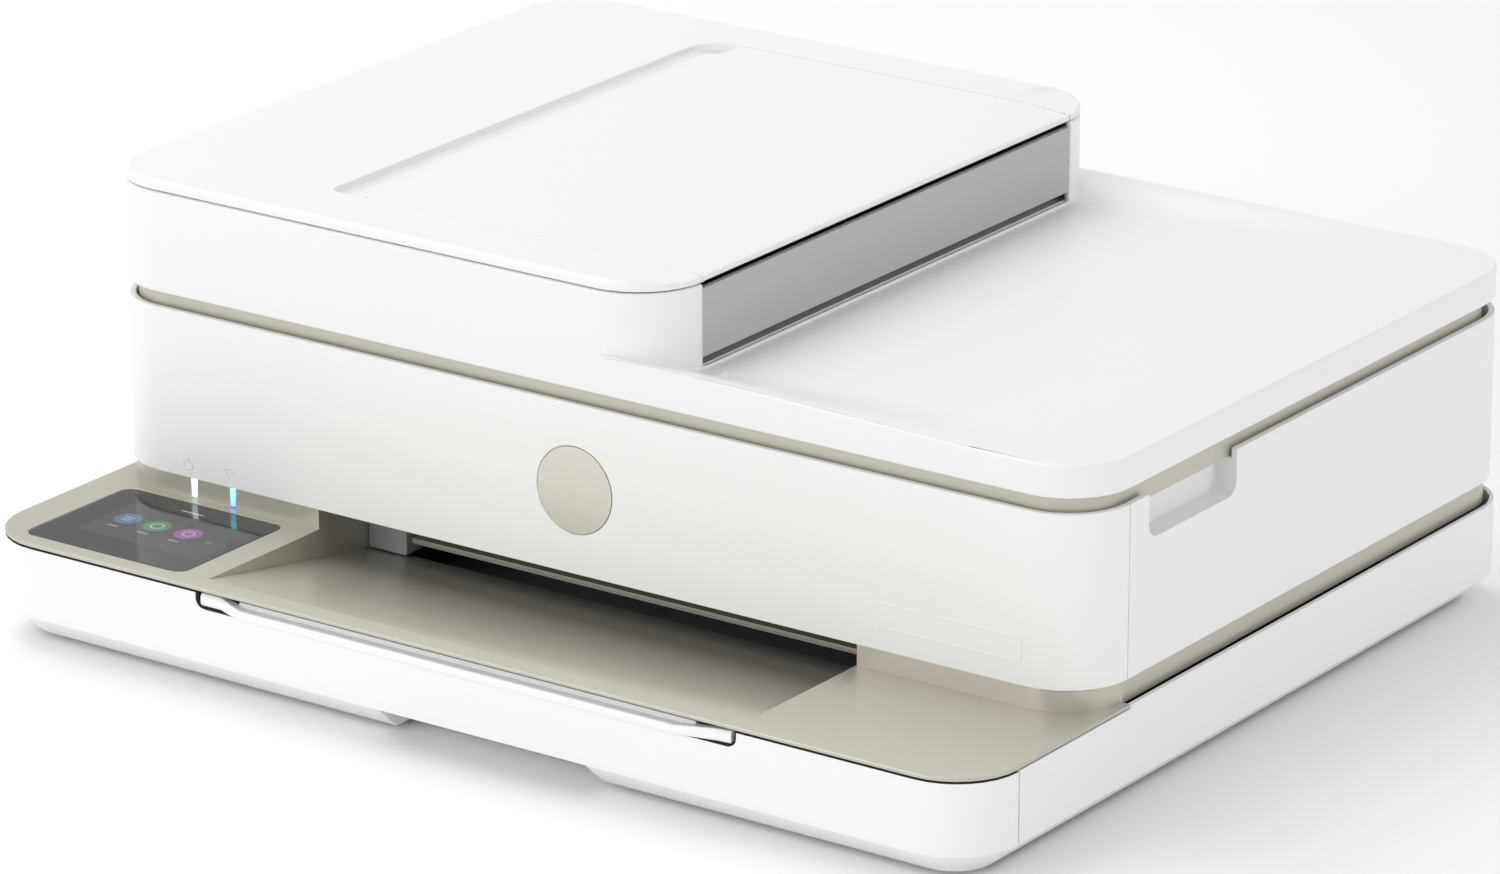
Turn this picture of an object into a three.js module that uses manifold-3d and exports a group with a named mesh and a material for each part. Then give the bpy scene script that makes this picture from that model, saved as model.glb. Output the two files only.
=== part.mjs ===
// All-in-one inkjet printer: paper drawer, output bay with touchscreen, print engine, flatbed
// scanner unit, and a lid with an automatic document feeder. Millimetres, +Z up, +X to the right
// of someone facing the printer, -Y towards them. The origin lies on the standing surface, at the
// middle of the footprint.
import * as THREE from "three";
import { mergeVertices } from "three/addons/utils/BufferGeometryUtils.js";
import Module from "manifold-3d";

const wasm = await Module();
wasm.setup();

// ---------------------------------------------------------------- driving dimensions
const overallWidth = 432;
const bodyDepth = 289; // from the front of the upper body to the back
const deckDepth = 70.5; // how far the deck and drawer stand ahead of the upper body
const cornerRadius = 25;
const bodyInset = 2.2; // upper body narrower than the base, on each side

const footHeight = 2;
const chamferHeight = 9.3;
const chamferInset = 10.6;
const baseFaceHeight = 28.4;
const lowerBandHeight = 7.8;
const bodyHeight = 63.3;
const upperBandHeight = 5.5;
const lidEdgeHeight = 11.8;
const feederWallHeight = 26.7;
const feederCapHeight = 4.1;

const gap = 0.3; // between pieces that touch
const runningGap = 0.3; // radial, between a shaft and its bore
const wall = 2.4;

// Levels and planes that follow from them. The upper body's front plane is y = 0 here.
const half = overallWidth / 2;
const bodyHalf = half - bodyInset;
const front = -deckDepth;
const rear = bodyDepth;
const baseBottom = footHeight;
const faceBottom = baseBottom + chamferHeight;
const deckTop = faceBottom + baseFaceHeight;
const bodyBottom = deckTop + lowerBandHeight;
const bodyTop = bodyBottom + bodyHeight;
const lidBottom = bodyTop + upperBandHeight;
const lidTop = lidBottom + lidEdgeHeight;
const feederSeam = lidTop + feederWallHeight;
const feederTop = feederSeam + feederCapHeight;

// ---------------------------------------------------------------- geometry helpers
function solid(geometry) {
  const bare = geometry.clone();
  bare.deleteAttribute("normal");
  bare.deleteAttribute("uv");
  const merged = mergeVertices(bare, 1e-4);
  const mesh = new wasm.Mesh({
    numProp: 3,
    vertProperties: new Float32Array(merged.attributes.position.array),
    triVerts: new Uint32Array(merged.index.array),
  });
  return new wasm.Manifold(mesh);
}

function geometryOf(manifold) {
  const mesh = manifold.getMesh();
  const geometry = new THREE.BufferGeometry();
  geometry.setAttribute("position", new THREE.BufferAttribute(mesh.vertProperties, 3));
  geometry.setIndex(new THREE.BufferAttribute(mesh.triVerts, 1));
  const flat = geometry.toNonIndexed();
  flat.computeVertexNormals();
  return flat;
}

function box(x0, x1, y0, y1, z0, z1) {
  const geometry = new THREE.BoxGeometry(x1 - x0, y1 - y0, z1 - z0);
  geometry.translate((x0 + x1) / 2, (y0 + y1) / 2, (z0 + z1) / 2);
  return solid(geometry);
}

const union = (pieces) => pieces.reduce((whole, piece) => whole.add(piece));

function extrude(points, depth) {
  const shape = new THREE.Shape(points.map(([u, v]) => new THREE.Vector2(u, v)));
  return new THREE.ExtrudeGeometry(shape, { depth, bevelEnabled: false, steps: 1 });
}

// A prism along Z from points given as [x, y].
function slab(points, z0, z1) {
  const geometry = extrude(points, z1 - z0);
  geometry.translate(0, 0, z0);
  return solid(geometry);
}

// A prism along X from points given as [y, z].
function prismX(points, x0, x1) {
  const geometry = extrude(points, x1 - x0);
  const alongX = new THREE.Vector3(1, 0, 0);
  const alongY = new THREE.Vector3(0, 1, 0);
  const alongZ = new THREE.Vector3(0, 0, 1);
  geometry.applyMatrix4(new THREE.Matrix4().makeBasis(alongY, alongZ, alongX));
  geometry.translate(x0, 0, 0);
  return solid(geometry);
}

// A prism along Y from points given as [x, z].
function prismY(points, y0, y1) {
  const geometry = extrude(points, y1 - y0);
  geometry.rotateX(Math.PI / 2);
  geometry.translate(0, y1, 0);
  return solid(geometry);
}

function cylinder(axis, centre, radius, from, to, sides = 20) {
  const geometry = new THREE.CylinderGeometry(radius, radius, to - from, sides);
  const middle = (from + to) / 2;
  if (axis === "x") {
    geometry.rotateZ(-Math.PI / 2);
    geometry.translate(middle, centre[0], centre[1]);
  } else if (axis === "z") {
    geometry.rotateX(Math.PI / 2);
    geometry.translate(centre[0], centre[1], middle);
  } else {
    geometry.translate(centre[0], middle, centre[1]);
  }
  return solid(geometry);
}

// Corner points of a rounded rectangle, anticlockwise from the front left.
// radii: [front left, front right, rear right, rear left]
function roundedOutline(area, radii, inset = 0, segments = 8) {
  const [x0, x1, y0, y1] = [area.x0 + inset, area.x1 - inset, area.y0 + inset, area.y1 - inset];
  const [fl, fr, rr, rl] = radii.map((r) => Math.max(r - inset, 0.4));
  const corners = [
    [x0 + fl, y0 + fl, fl, Math.PI],
    [x1 - fr, y0 + fr, fr, 1.5 * Math.PI],
    [x1 - rr, y1 - rr, rr, 0],
    [x0 + rl, y1 - rl, rl, 0.5 * Math.PI],
  ];
  const points = [];
  for (const [cx, cy, r, start] of corners) {
    for (let i = 0; i <= segments; i += 1) {
      const angle = start + (i / segments) * 0.5 * Math.PI;
      points.push([cx + r * Math.cos(angle), cy + r * Math.sin(angle)]);
    }
  }
  return points;
}

// A closed solid through loops of equal length; flatten gives the plane in which the ends are capped.
function loft(loops, flatten) {
  const count = loops[0].length;
  const positions = loops.flat(2);
  const index = [];
  for (let k = 0; k + 1 < loops.length; k += 1) {
    for (let i = 0; i < count; i += 1) {
      const j = (i + 1) % count;
      const [a, b] = [k * count + i, k * count + j];
      index.push(a, b, b + count, a, b + count, a + count);
    }
  }
  const capOf = (loop) => THREE.ShapeUtils.triangulateShape(loop.map(flatten), []);
  for (const [a, b, c] of capOf(loops[0])) index.push(a, c, b);
  const last = (loops.length - 1) * count;
  for (const [a, b, c] of capOf(loops[loops.length - 1])) index.push(last + a, last + b, last + c);
  const geometry = new THREE.BufferGeometry();
  geometry.setAttribute("position", new THREE.BufferAttribute(new Float32Array(positions), 3));
  geometry.setIndex(index);
  return solid(geometry);
}

// Stacked rounded rectangles: layers are [z, inset] from the bottom up.
function stack(area, radii, layers) {
  const loops = layers.map(([z, inset]) => roundedOutline(area, radii, inset).map(([x, y]) => [x, y, z]));
  return loft(loops, ([x, y]) => new THREE.Vector2(x, y));
}

// A block with a flat bottom and a modelled top, over a grid of x and y positions.
function reliefBlock(xs, ys, heightAt, bottom) {
  const positions = [];
  const index = [];
  const [nx, ny] = [xs.length, ys.length];
  for (const top of [false, true]) {
    for (const y of ys) {
      for (const x of xs) positions.push(x, y, top ? heightAt(x, y) : bottom);
    }
  }
  const lift = nx * ny;
  const quad = (a, b, c, d) => index.push(a, b, c, a, c, d);
  for (let j = 0; j + 1 < ny; j += 1) {
    for (let i = 0; i + 1 < nx; i += 1) {
      const a = j * nx + i;
      quad(a, a + nx, a + nx + 1, a + 1);
      quad(a + lift, a + 1 + lift, a + nx + 1 + lift, a + nx + lift);
    }
  }
  for (let i = 0; i + 1 < nx; i += 1) {
    const back = (ny - 1) * nx + i;
    quad(i, i + 1, i + 1 + lift, i + lift);
    quad(back + 1, back, back + lift, back + 1 + lift);
  }
  for (let j = 0; j + 1 < ny; j += 1) {
    const left = j * nx;
    const right = j * nx + nx - 1;
    quad(left + nx, left, left + lift, left + nx + lift);
    quad(right, right + nx, right + nx + lift, right + lift);
  }
  const geometry = new THREE.BufferGeometry();
  geometry.setAttribute("position", new THREE.BufferAttribute(new Float32Array(positions), 3));
  geometry.setIndex(index);
  return solid(geometry);
}

const smooth = (t) => {
  const s = Math.min(Math.max(t, 0), 1);
  return s * s * (3 - 2 * s);
};
const steps = (from, to, count) =>
  Array.from({ length: count + 1 }, (_, i) => from + ((to - from) * i) / count);

// ---------------------------------------------------------------- scene graph
const printer = new THREE.Group();
const assembly = new THREE.Group();
const lipReach = 3.4; // the extender's lip stands ahead of the drawer front
assembly.position.y = -(rear + front - lipReach) / 2;
printer.add(assembly);

const finish = (color, roughness, metalness = 0) =>
  new THREE.MeshStandardMaterial({ color, roughness, metalness });
const whitePlastic = finish(0xf1f1ef, 0.42);
const beigePlastic = finish(0xb9b4a6, 0.45);
const greyPlastic = finish(0xbfc1c2, 0.5);
const darkPlastic = finish(0x33353a, 0.55);
const blackGlass = finish(0x0b0c0d, 0.08);
const clearGlass = finish(0xcfdedc, 0.05);
const rubber = finish(0x1c1c1e, 0.85);
const steel = finish(0xb7babd, 0.3, 1);
const lightPipe = finish(0xe8f6ff, 0.2);
const foam = finish(0xf7f7f7, 0.8);
const circuitGreen = finish(0x1d5b36, 0.5);
const badgeBeige = finish(0xaea99b, 0.35, 0.4);

function add(name, manifold, material) {
  const mesh = new THREE.Mesh(geometryOf(manifold), material);
  mesh.name = name;
  assembly.add(mesh);
}

// Outlines shared by the stacked layers.
const baseArea = { x0: -half, x1: half, y0: front, y1: rear };
const bodyArea = { x0: -bodyHalf, x1: bodyHalf, y0: 0, y1: rear };
const baseRadii = Array(4).fill(cornerRadius);
const far = 3 * Math.max(overallWidth, bodyDepth);

// ---------------------------------------------------------------- base housing
const baseWall = 2;
const drawerSeamY = front + cornerRadius + 1; // where the drawer front's corners end on the sides
const deckRearY = cornerRadius - 1; // where the deck's riser ends on the sides
const bandInset = 4;
const rimTop = deckTop - 0.5;

function baseLayers(top, inset) {
  return [
    [baseBottom, chamferInset + inset],
    [faceBottom, inset],
    [top, inset],
  ];
}
const baseOuter = stack(baseArea, baseRadii, baseLayers(rimTop, 0));
const baseInner = stack(baseArea, baseRadii, [
  [baseBottom - 1, chamferInset + baseWall + 1],
  [faceBottom, baseWall],
  [deckTop + 5, baseWall],
]);
const deckEdge = 1.3; // visible thickness of the deck's edge
const drawerTop = deckTop - deckEdge - 0.7; // a shadow gap under the deck
add(
  "base_housing",
  baseOuter
    .subtract(baseInner)
    .subtract(box(-far, far, -far, drawerSeamY + gap, -1, far))
    .subtract(box(-far, far, -far, deckRearY + gap, drawerTop + 0.2, far)),
  whitePlastic,
);

const plateTop = baseBottom + 2;
const plateInset = chamferInset + baseWall + 0.8;
let basePlate = stack(
  { x0: -half, x1: half, y0: drawerSeamY + 2.5 - plateInset, y1: rear },
  baseRadii,
  [
    [baseBottom + gap, plateInset],
    [plateTop, plateInset],
  ],
);
const footRadius = 8;
const footX = half - 36;
for (const x of [-footX, footX]) {
  for (const y of [drawerSeamY + 14, rear - 27]) {
    basePlate = basePlate.add(cylinder("z", [x, y], footRadius, 0, plateTop, 16));
  }
}
add("base_plate", basePlate, rubber);

// ---------------------------------------------------------------- deck with touchscreen and bay
const screenMarginX = 15.8;
const screenWidth = 72.7;
const screenFrontMargin = 7.9;
const screenRearMargin = 3.6; // to the front plane of the upper body
const screenDepth = deckDepth - screenFrontMargin - screenRearMargin;
const bayMargin = 12.1; // deck between the screen and the bay
const shelfWidth = 96.7; // flat deck right of the bay
const bayLeft = -half + screenMarginX + screenWidth + bayMargin;
const bayRight = half - shelfWidth;
const baySlope = 0.172;
const bayFrontY = front + 8.5;
const bayRearY = 34;
const bayWall = 2;
const deckSkin = 3.1;
const deckLedge = 5; // the deck's lower layer stands this far inside its edge
const riserY = 0.9;
const riserTop = bodyBottom - gap;
const bayFloorAt = (y) => deckTop - baySlope * (y - bayFrontY);

const screenX0 = -half + screenMarginX;
const screenX1 = screenX0 + screenWidth;
const screenY0 = front + screenFrontMargin;
const screenY1 = screenY0 + screenDepth;
const glassThickness = 0.9;
const glassTop = deckTop - 0.1;
const moduleMargin = 9;
const lightWidth = 2.2;
const lightXs = [screenX0 + 27.2, screenX0 + 45.2];

// The touchscreen's outline, grown or shrunk evenly; the display module under the glass is smaller.
const screenCorner = 4.5;
const screenArea = { x0: screenX0, x1: screenX1, y0: screenY0, y1: screenY1 };
const screenSlab = (grow, z0, z1) =>
  slab(roundedOutline(screenArea, Array(4).fill(screenCorner), -grow, 5), z0, z1);

const deckUpper = stack(baseArea, baseRadii, [
  [deckTop - deckEdge, 0],
  [deckTop, 0],
]);
const deckLower = stack(baseArea, baseRadii, [
  [deckTop - deckSkin, deckLedge],
  [deckTop - deckEdge / 2, deckLedge],
]);
const riserArea = { x0: -bodyHalf + riserY, x1: bodyHalf - riserY, y0: riserY, y1: rear };
const riserRadii = Array(4).fill(cornerRadius - riserY);
const riserOuter = stack(riserArea, riserRadii, [
  [deckTop - deckEdge / 2, 0],
  [riserTop, 0],
]);
const riserInner = stack(riserArea, riserRadii, [
  [deckTop - 10, 2],
  [riserTop + 10, 2],
]);
const bayFloor = prismX(
  [
    [bayFrontY - 0.5, deckTop],
    [bayFrontY - 0.5, deckTop - bayWall],
    [bayFrontY, bayFloorAt(bayFrontY) - bayWall],
    [bayRearY, bayFloorAt(bayRearY) - bayWall],
    [bayRearY, bayFloorAt(bayRearY)],
    [bayFrontY, deckTop],
  ],
  bayLeft - bayWall,
  bayRight + bayWall,
);
const bayCheek = (x) =>
  prismX(
    [
      [bayFrontY, deckTop],
      [bayFrontY, deckTop - bayWall],
      [bayRearY, bayFloorAt(bayRearY) - bayWall],
      [bayRearY, riserTop],
      [riserY, riserTop],
      [riserY, deckTop],
    ],
    x,
    x + bayWall,
  );
let deck = deckUpper
  .add(deckLower)
  .add(riserOuter.subtract(riserInner))
  .subtract(box(-far, far, deckRearY, far, -far, far))
  .subtract(box(bayLeft, bayRight, front, bayFrontY, 0, deckTop - deckEdge))
  .subtract(box(bayLeft, bayRight, bayFrontY, far, 0, far))
  .add(bayFloor)
  .add(bayCheek(bayLeft - bayWall))
  .add(bayCheek(bayRight))
  .subtract(screenSlab(gap, glassTop - glassThickness - gap, far))
  .subtract(screenSlab(gap - moduleMargin, 0, far));
for (const x of lightXs) {
  const reach = lightWidth / 2 + gap;
  deck = deck.subtract(box(x - reach, x + reach, riserY - 1, riserY + 3, deckTop, far));
}
add("deck_cover", deck, beigePlastic);

add(
  "touchscreen_glass",
  screenSlab(0, glassTop - glassThickness, glassTop).add(
    screenSlab(-moduleMargin, deckTop - deckSkin, glassTop - glassThickness / 2),
  ),
  blackGlass,
);
// One light pipe: two bars that show through the riser, joined behind it.
const lightBars = lightXs.map((x) =>
  box(x - lightWidth / 2, x + lightWidth / 2, riserY - 0.1, riserY + 5, deckTop + gap, riserTop),
);
const lightBridge = box(lightXs[0], lightXs[1], riserY + 3.2, riserY + 5, deckTop + gap, riserTop);
add("status_lights", lightBridge.add(union(lightBars)), lightPipe);

// ---------------------------------------------------------------- body shell
const bodyWall = 2.5;
const fasciaWrapY = cornerRadius + 0.2;
const bodyRadii = Array(4).fill(cornerRadius);
const bodyShell = stack(bodyArea, bodyRadii, [
  [bodyBottom, 0],
  [bodyTop, 0],
]).subtract(
  stack(bodyArea, bodyRadii, [
    [bodyBottom - 5, bodyWall],
    [bodyTop + 5, bodyWall],
  ]),
);
const badgeRadius = 16.1;
const badgeZ = bodyBottom + 31.3;
const badgeDepth = 0.6;
const badgePocket = cylinder("y", [0, badgeZ], badgeRadius + gap, -1, badgeDepth + gap, 48);
add(
  "front_fascia",
  bodyShell.subtract(box(-far, far, fasciaWrapY, far, -far, far)).subtract(badgePocket),
  whitePlastic,
);
add("badge_disc", cylinder("y", [0, badgeZ], badgeRadius, -0.1, badgeDepth, 48), badgeBeige);

// Hand recess in each side, open at the top, by which the scanner unit is lifted.
const recessY0 = 37.5;
const recessLength = 56;
const recessDrop = 16.3;
const recessDepth = 9;
const recessCorner = 5;
const recessWall = 2;
const flangeDrop = 3.3; // the scanner's flange reaches this far down inside the body's rim
function recessProfile(grow, top) {
  const r = recessCorner + grow;
  const [y0, y1] = [recessY0 - grow, recessY0 + recessLength + grow];
  const z0 = bodyTop - recessDrop - grow;
  const points = [];
  for (const [cy, start] of [
    [y0 + r, Math.PI],
    [y1 - r, 1.5 * Math.PI],
  ]) {
    for (let i = 0; i <= 5; i += 1) {
      const angle = start + (i / 5) * 0.5 * Math.PI;
      points.push([cy + r * Math.cos(angle), z0 + r + r * Math.sin(angle)]);
    }
  }
  points.push([y1, top], [y0, top]);
  return points;
}
function sidePanel(side) {
  const sign = side === "left" ? -1 : 1;
  const span = (from, to) => (sign < 0 ? [-to, -from] : [from, to]);
  const cupTop = bodyTop - flangeDrop - gap;
  const cupInner = bodyHalf - recessDepth;
  const keep = box(...span(bodyHalf - cornerRadius - 0.5, far), fasciaWrapY + gap, far, 0, far);
  const cupSpan = span(cupInner - recessWall, bodyHalf - bodyWall / 2);
  const cup = prismX(recessProfile(recessWall, cupTop), ...cupSpan);
  const hollow = prismX(recessProfile(0, bodyTop + 10), ...span(cupInner, bodyHalf + 1));
  return bodyShell.intersect(keep).add(cup).subtract(hollow);
}
add("side_panel_left", sidePanel("left"), whitePlastic);
add("side_panel_right", sidePanel("right"), whitePlastic);

// Rear panel with the cut-outs for the mains inlet, the USB socket and the power button.
const inletX = -bodyHalf + 62.8;
const inletSize = { width: 26, height: 18, depth: 14 };
const inletZ = bodyBottom + 19.5;
const usbX = bodyHalf - 73.8;
const usbSize = { width: 16, height: 11, depth: 20 };
const boardZ = bodyBottom + 5;
const boardThickness = 1.6;
const usbZ = boardZ + boardThickness + gap + usbSize.height / 2;
const buttonX = inletX + 50;
const buttonRadius = 6;
const buttonZ = bodyTop - 14;
const hole = (x, z, size) =>
  box(
    x - size.width / 2 - gap,
    x + size.width / 2 + gap,
    rear - bodyWall - 1,
    rear + 1,
    z - size.height / 2 - gap,
    z + size.height / 2 + gap,
  );
const rearPanelHalf = bodyHalf - cornerRadius - 0.5 - gap;
add(
  "rear_panel",
  bodyShell
    .intersect(box(-rearPanelHalf, rearPanelHalf, rear - cornerRadius, far, 0, far))
    .subtract(hole(inletX, inletZ, inletSize))
    .subtract(hole(usbX, usbZ, usbSize))
    .subtract(cylinder("y", [buttonX, buttonZ], buttonRadius + 0.4, rear - 5, rear + 1, 24)),
  whitePlastic,
);
add("power_button", cylinder("y", [buttonX, buttonZ], buttonRadius, rear - 5, rear, 24), greyPlastic);

// ---------------------------------------------------------------- lower band and engine floor
const midFloor = deckTop - 1.1;
const midFloorTop = midFloor + 2;
const exitGuideTopY = 105;
const engineFloorCut = 78;
const pickShaftY = 180;
const pickShaftZ = midFloorTop + 9.4;
const pickShaftRadius = 2.5;
const pickForkHalf = 14.5;
const turnCentreY = rear - 46;
const turnWall = 2.5;
const turnHalfWidth = bodyHalf - 101.8;
const lug = (x) =>
  box(x, x + 3, pickShaftY - 4, pickShaftY + 4, midFloorTop - 1, pickShaftZ + 4).subtract(
    cylinder("x", [pickShaftY, pickShaftZ], pickShaftRadius + runningGap, x - 1, x + 4),
  );
add(
  "mid_frame",
  stack(baseArea, baseRadii, [
    [midFloor, bandInset],
    [riserTop, bandInset],
  ])
    .subtract(
      stack(baseArea, baseRadii, [
        [midFloorTop, bandInset + 2],
        [riserTop + 5, bandInset + 2],
      ]),
    )
    .subtract(box(-far, far, -far, deckRearY + gap, 0, far))
    .subtract(box(bayLeft - bayWall - 1, bayRight + bayWall + 1, 0, engineFloorCut, 0, far))
    .subtract(box(-pickForkHalf - 5.5, pickForkHalf + 5.5, pickShaftY + 6, turnCentreY, 0, midFloorTop + 1))
    .subtract(
      box(-turnHalfWidth - 3, turnHalfWidth + 3, turnCentreY - 3, rear - 9, 0, midFloorTop + 1),
    )
    .add(lug(pickForkHalf + 1))
    .add(lug(-pickForkHalf - 4)),
  beigePlastic,
);

// ---------------------------------------------------------------- output path
const postWidth = 17.3;
add(
  "bay_side_post",
  box(
    bayLeft + gap,
    bayLeft + gap + postWidth,
    bayRearY - 4.5,
    bayRearY + 6,
    bayFloorAt(bayRearY - 5) + 0.4,
    riserTop + 12,
  ),
  greyPlastic,
);
const rollerZ = midFloorTop + 14.4;
const exitGuideX0 = bayLeft + postWidth + 1;
const exitGuideFront = bayRearY - 2;
const exitLedge = bayFloorAt(bayRearY) + 7.8;
add(
  "exit_guide",
  prismX(
    [
      [exitGuideFront, exitLedge - 2.1],
      [exitGuideFront + 14, exitLedge - 0.2],
      [exitGuideTopY, rollerZ - 0.5],
      [exitGuideTopY, rollerZ + 1.5],
      [exitGuideFront + 14, exitLedge + 2],
      [exitGuideFront, exitLedge],
    ],
    exitGuideX0,
    bayRight - 0.4,
  ),
  beigePlastic,
);

// ---------------------------------------------------------------- print engine
const engineHalf = bodyHalf - 23.8;
const plateThickness = 1.5;
const plateInner = engineHalf - plateThickness;
const toothModule = 1;
const teeth = { feed: 24, idler: 24, exit: 20, pinion: 12 };
const gearReach = (a, b) => (toothModule * (a + b)) / 2;
const feedY = 158;
const idlerY = feedY - gearReach(teeth.feed, teeth.idler);
const exitY = idlerY - gearReach(teeth.idler, teeth.exit);
const motorY = exitY - gearReach(teeth.exit, teeth.pinion);
const shaftRadius = 3;
const motorShaftRadius = 1.5;
const gearFrom = -engineHalf - plateThickness - 8;
const gearTo = -engineHalf - plateThickness - 2;
const paperLevel = rollerZ + 5.5;
const tubBottom = bodyTop - 14.3; // underside of the scanner's tub
const carriageBottom = paperLevel + 2.5;
const carriageTop = tubBottom - 4;
const rodY = feedY + 14;
const rodZ = paperLevel + 5.5;
const rodRadius = 4;
const pulleyRadius = 6;
const pulleyY = rodY + 13;
const pulleyX = engineHalf - 14;
const beltZ = rodZ + 10;
const beltWidth = 5;
const beltThickness = 1;
const beamY = pulleyY + 9.5;

const chassisBottom = midFloorTop + gap;
let chassis = box(-engineHalf - 0.5, engineHalf + 0.5, beamY, beamY + 1.5, rollerZ + 5, tubBottom - 2);
for (const x of [-engineHalf - plateThickness, engineHalf]) {
  chassis = chassis.add(
    box(x, x + plateThickness, motorY - 14, beamY + 1.5, chassisBottom, tubBottom - 2),
  );
}
for (const y of [feedY, exitY]) {
  chassis = chassis.subtract(cylinder("x", [y, rollerZ], shaftRadius + runningGap, -far, far));
}
chassis = chassis
  .subtract(cylinder("x", [motorY, rollerZ], motorShaftRadius + 1, -far, 0))
  .add(cylinder("x", [idlerY, rollerZ], shaftRadius, gearFrom - 1, -engineHalf - 0.5))
  .add(box(-pulleyX - 8, -pulleyX + 8, pulleyY - 6, beamY + 0.5, beltZ - 10, beltZ - 7))
  .add(cylinder("z", [-pulleyX, pulleyY], motorShaftRadius, beltZ - 8, beltZ + 4, 12));
add("chassis_frame", chassis, steel);

add("guide_rod", cylinder("x", [rodY, rodZ], rodRadius, -engineHalf + gap, engineHalf - gap), steel);

let platen = box(-turnHalfWidth, turnHalfWidth + 4, idlerY - 14, feedY - 8, rollerZ - 11, paperLevel - 3);
for (const x of steps(-turnHalfWidth + 4, turnHalfWidth, 8)) {
  platen = platen.add(box(x - 1, x + 1, idlerY - 12, feedY - 10, paperLevel - 4, paperLevel - 1));
}
add("platen", platen, darkPlastic);

// Spur gear along X: straight-sided teeth, thin enough to leave backlash.
function gear(count, centre, bore, turn = 0) {
  const pitch = (toothModule * count) / 2;
  const ring = [
    [pitch - 1.1 * toothModule, -0.32],
    [pitch - 1.1 * toothModule, -0.27],
    [pitch + 0.85 * toothModule, -0.1],
    [pitch + 0.85 * toothModule, 0.1],
    [pitch - 1.1 * toothModule, 0.27],
  ];
  const points = [];
  for (let i = 0; i < count; i += 1) {
    for (const [r, share] of ring) {
      const angle = ((i + share + turn) / count) * 2 * Math.PI;
      points.push([centre[0] + r * Math.cos(angle), centre[1] + r * Math.sin(angle)]);
    }
  }
  return prismX(points, gearFrom, gearTo).subtract(cylinder("x", centre, bore, -far, far, 16));
}
function shaft(y, from, to) {
  return cylinder("x", [y, rollerZ], shaftRadius, from, to);
}
const rollerFrom = gearFrom - 1;
const rollerTo = engineHalf + 3;
add(
  "feed_roller",
  shaft(feedY, rollerFrom, rollerTo)
    .add(cylinder("x", [feedY, rollerZ], 5.5, -turnHalfWidth - 4, turnHalfWidth + 6))
    .add(gear(teeth.feed, [feedY, rollerZ], 1)),
  rubber,
);
let exitRoller = shaft(exitY, rollerFrom, rollerTo).add(gear(teeth.exit, [exitY, rollerZ], 1));
for (const x of steps(-turnHalfWidth + 12, turnHalfWidth - 8, 5)) {
  exitRoller = exitRoller.add(cylinder("x", [exitY, rollerZ], 5, x - 4, x + 4));
}
add("exit_roller", exitRoller, rubber);
add("idler_gear", gear(teeth.idler, [idlerY, rollerZ], shaftRadius + runningGap, 0.5), greyPlastic);
add("motor_pinion", gear(teeth.pinion, [motorY, rollerZ], motorShaftRadius + runningGap, 0.5), steel);
add(
  "feed_motor",
  cylinder("x", [motorY, rollerZ], 12, -engineHalf + gap, -engineHalf + 20).add(
    cylinder("x", [motorY, rollerZ], motorShaftRadius, rollerFrom, -engineHalf + 1, 12),
  ),
  steel,
);

// Carriage with its two cartridges, parked over the service station at the right.
const carriageHalf = 47;
const carriageX = engineHalf - 53;
const pocketSplit = 1;
const pocketFrontY = exitY - 9;
const pocketRearY = feedY + 4;
const lugBottom = rodZ - 5.5;
let carriage = box(
  carriageX - carriageHalf,
  carriageX + carriageHalf,
  pocketFrontY - 3,
  pocketRearY + 4,
  carriageBottom,
  carriageTop,
).add(
  box(carriageX - 40, carriageX + 40, pocketRearY + 3, rodY + 6, lugBottom, rodZ + 6),
);
const clampRear = pulleyY - pulleyRadius - runningGap - beltThickness - gap;
carriage = carriage
  .add(box(carriageX - 8, carriageX + 8, rodY - 4, clampRear, rodZ + 5, beltZ + 4))
  .subtract(cylinder("x", [rodY, rodZ], rodRadius + runningGap, -far, far, 24));
const cartridges = { cartridge_colour: -1, cartridge_black: 1 };
for (const sign of Object.values(cartridges)) {
  const [near, wide] = [pocketSplit, carriageHalf - 2];
  const [x0, x1] = [near, wide].map((reach) => carriageX + sign * reach).sort((a, b) => a - b);
  carriage = carriage.subtract(box(x0, x1, pocketFrontY, pocketRearY, carriageBottom + 2, far));
}
add("print_carriage", carriage, darkPlastic);
for (const [name, sign] of Object.entries(cartridges)) {
  const [near, wide] = [pocketSplit + 1, carriageHalf - 3];
  const [x0, x1] = [near, wide].map((reach) => carriageX + sign * reach).sort((a, b) => a - b);
  const bottom = carriageBottom + 2 + gap;
  const body = box(x0, x1, pocketFrontY + 1, pocketRearY - 1, bottom, carriageTop - 3);
  const grip = box(
    x0 + 6,
    x1 - 6,
    pocketFrontY + 1,
    pocketFrontY + 9,
    carriageTop - 4,
    carriageTop - 0.5,
  );
  add(name, body.add(grip), darkPlastic);
}

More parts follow.
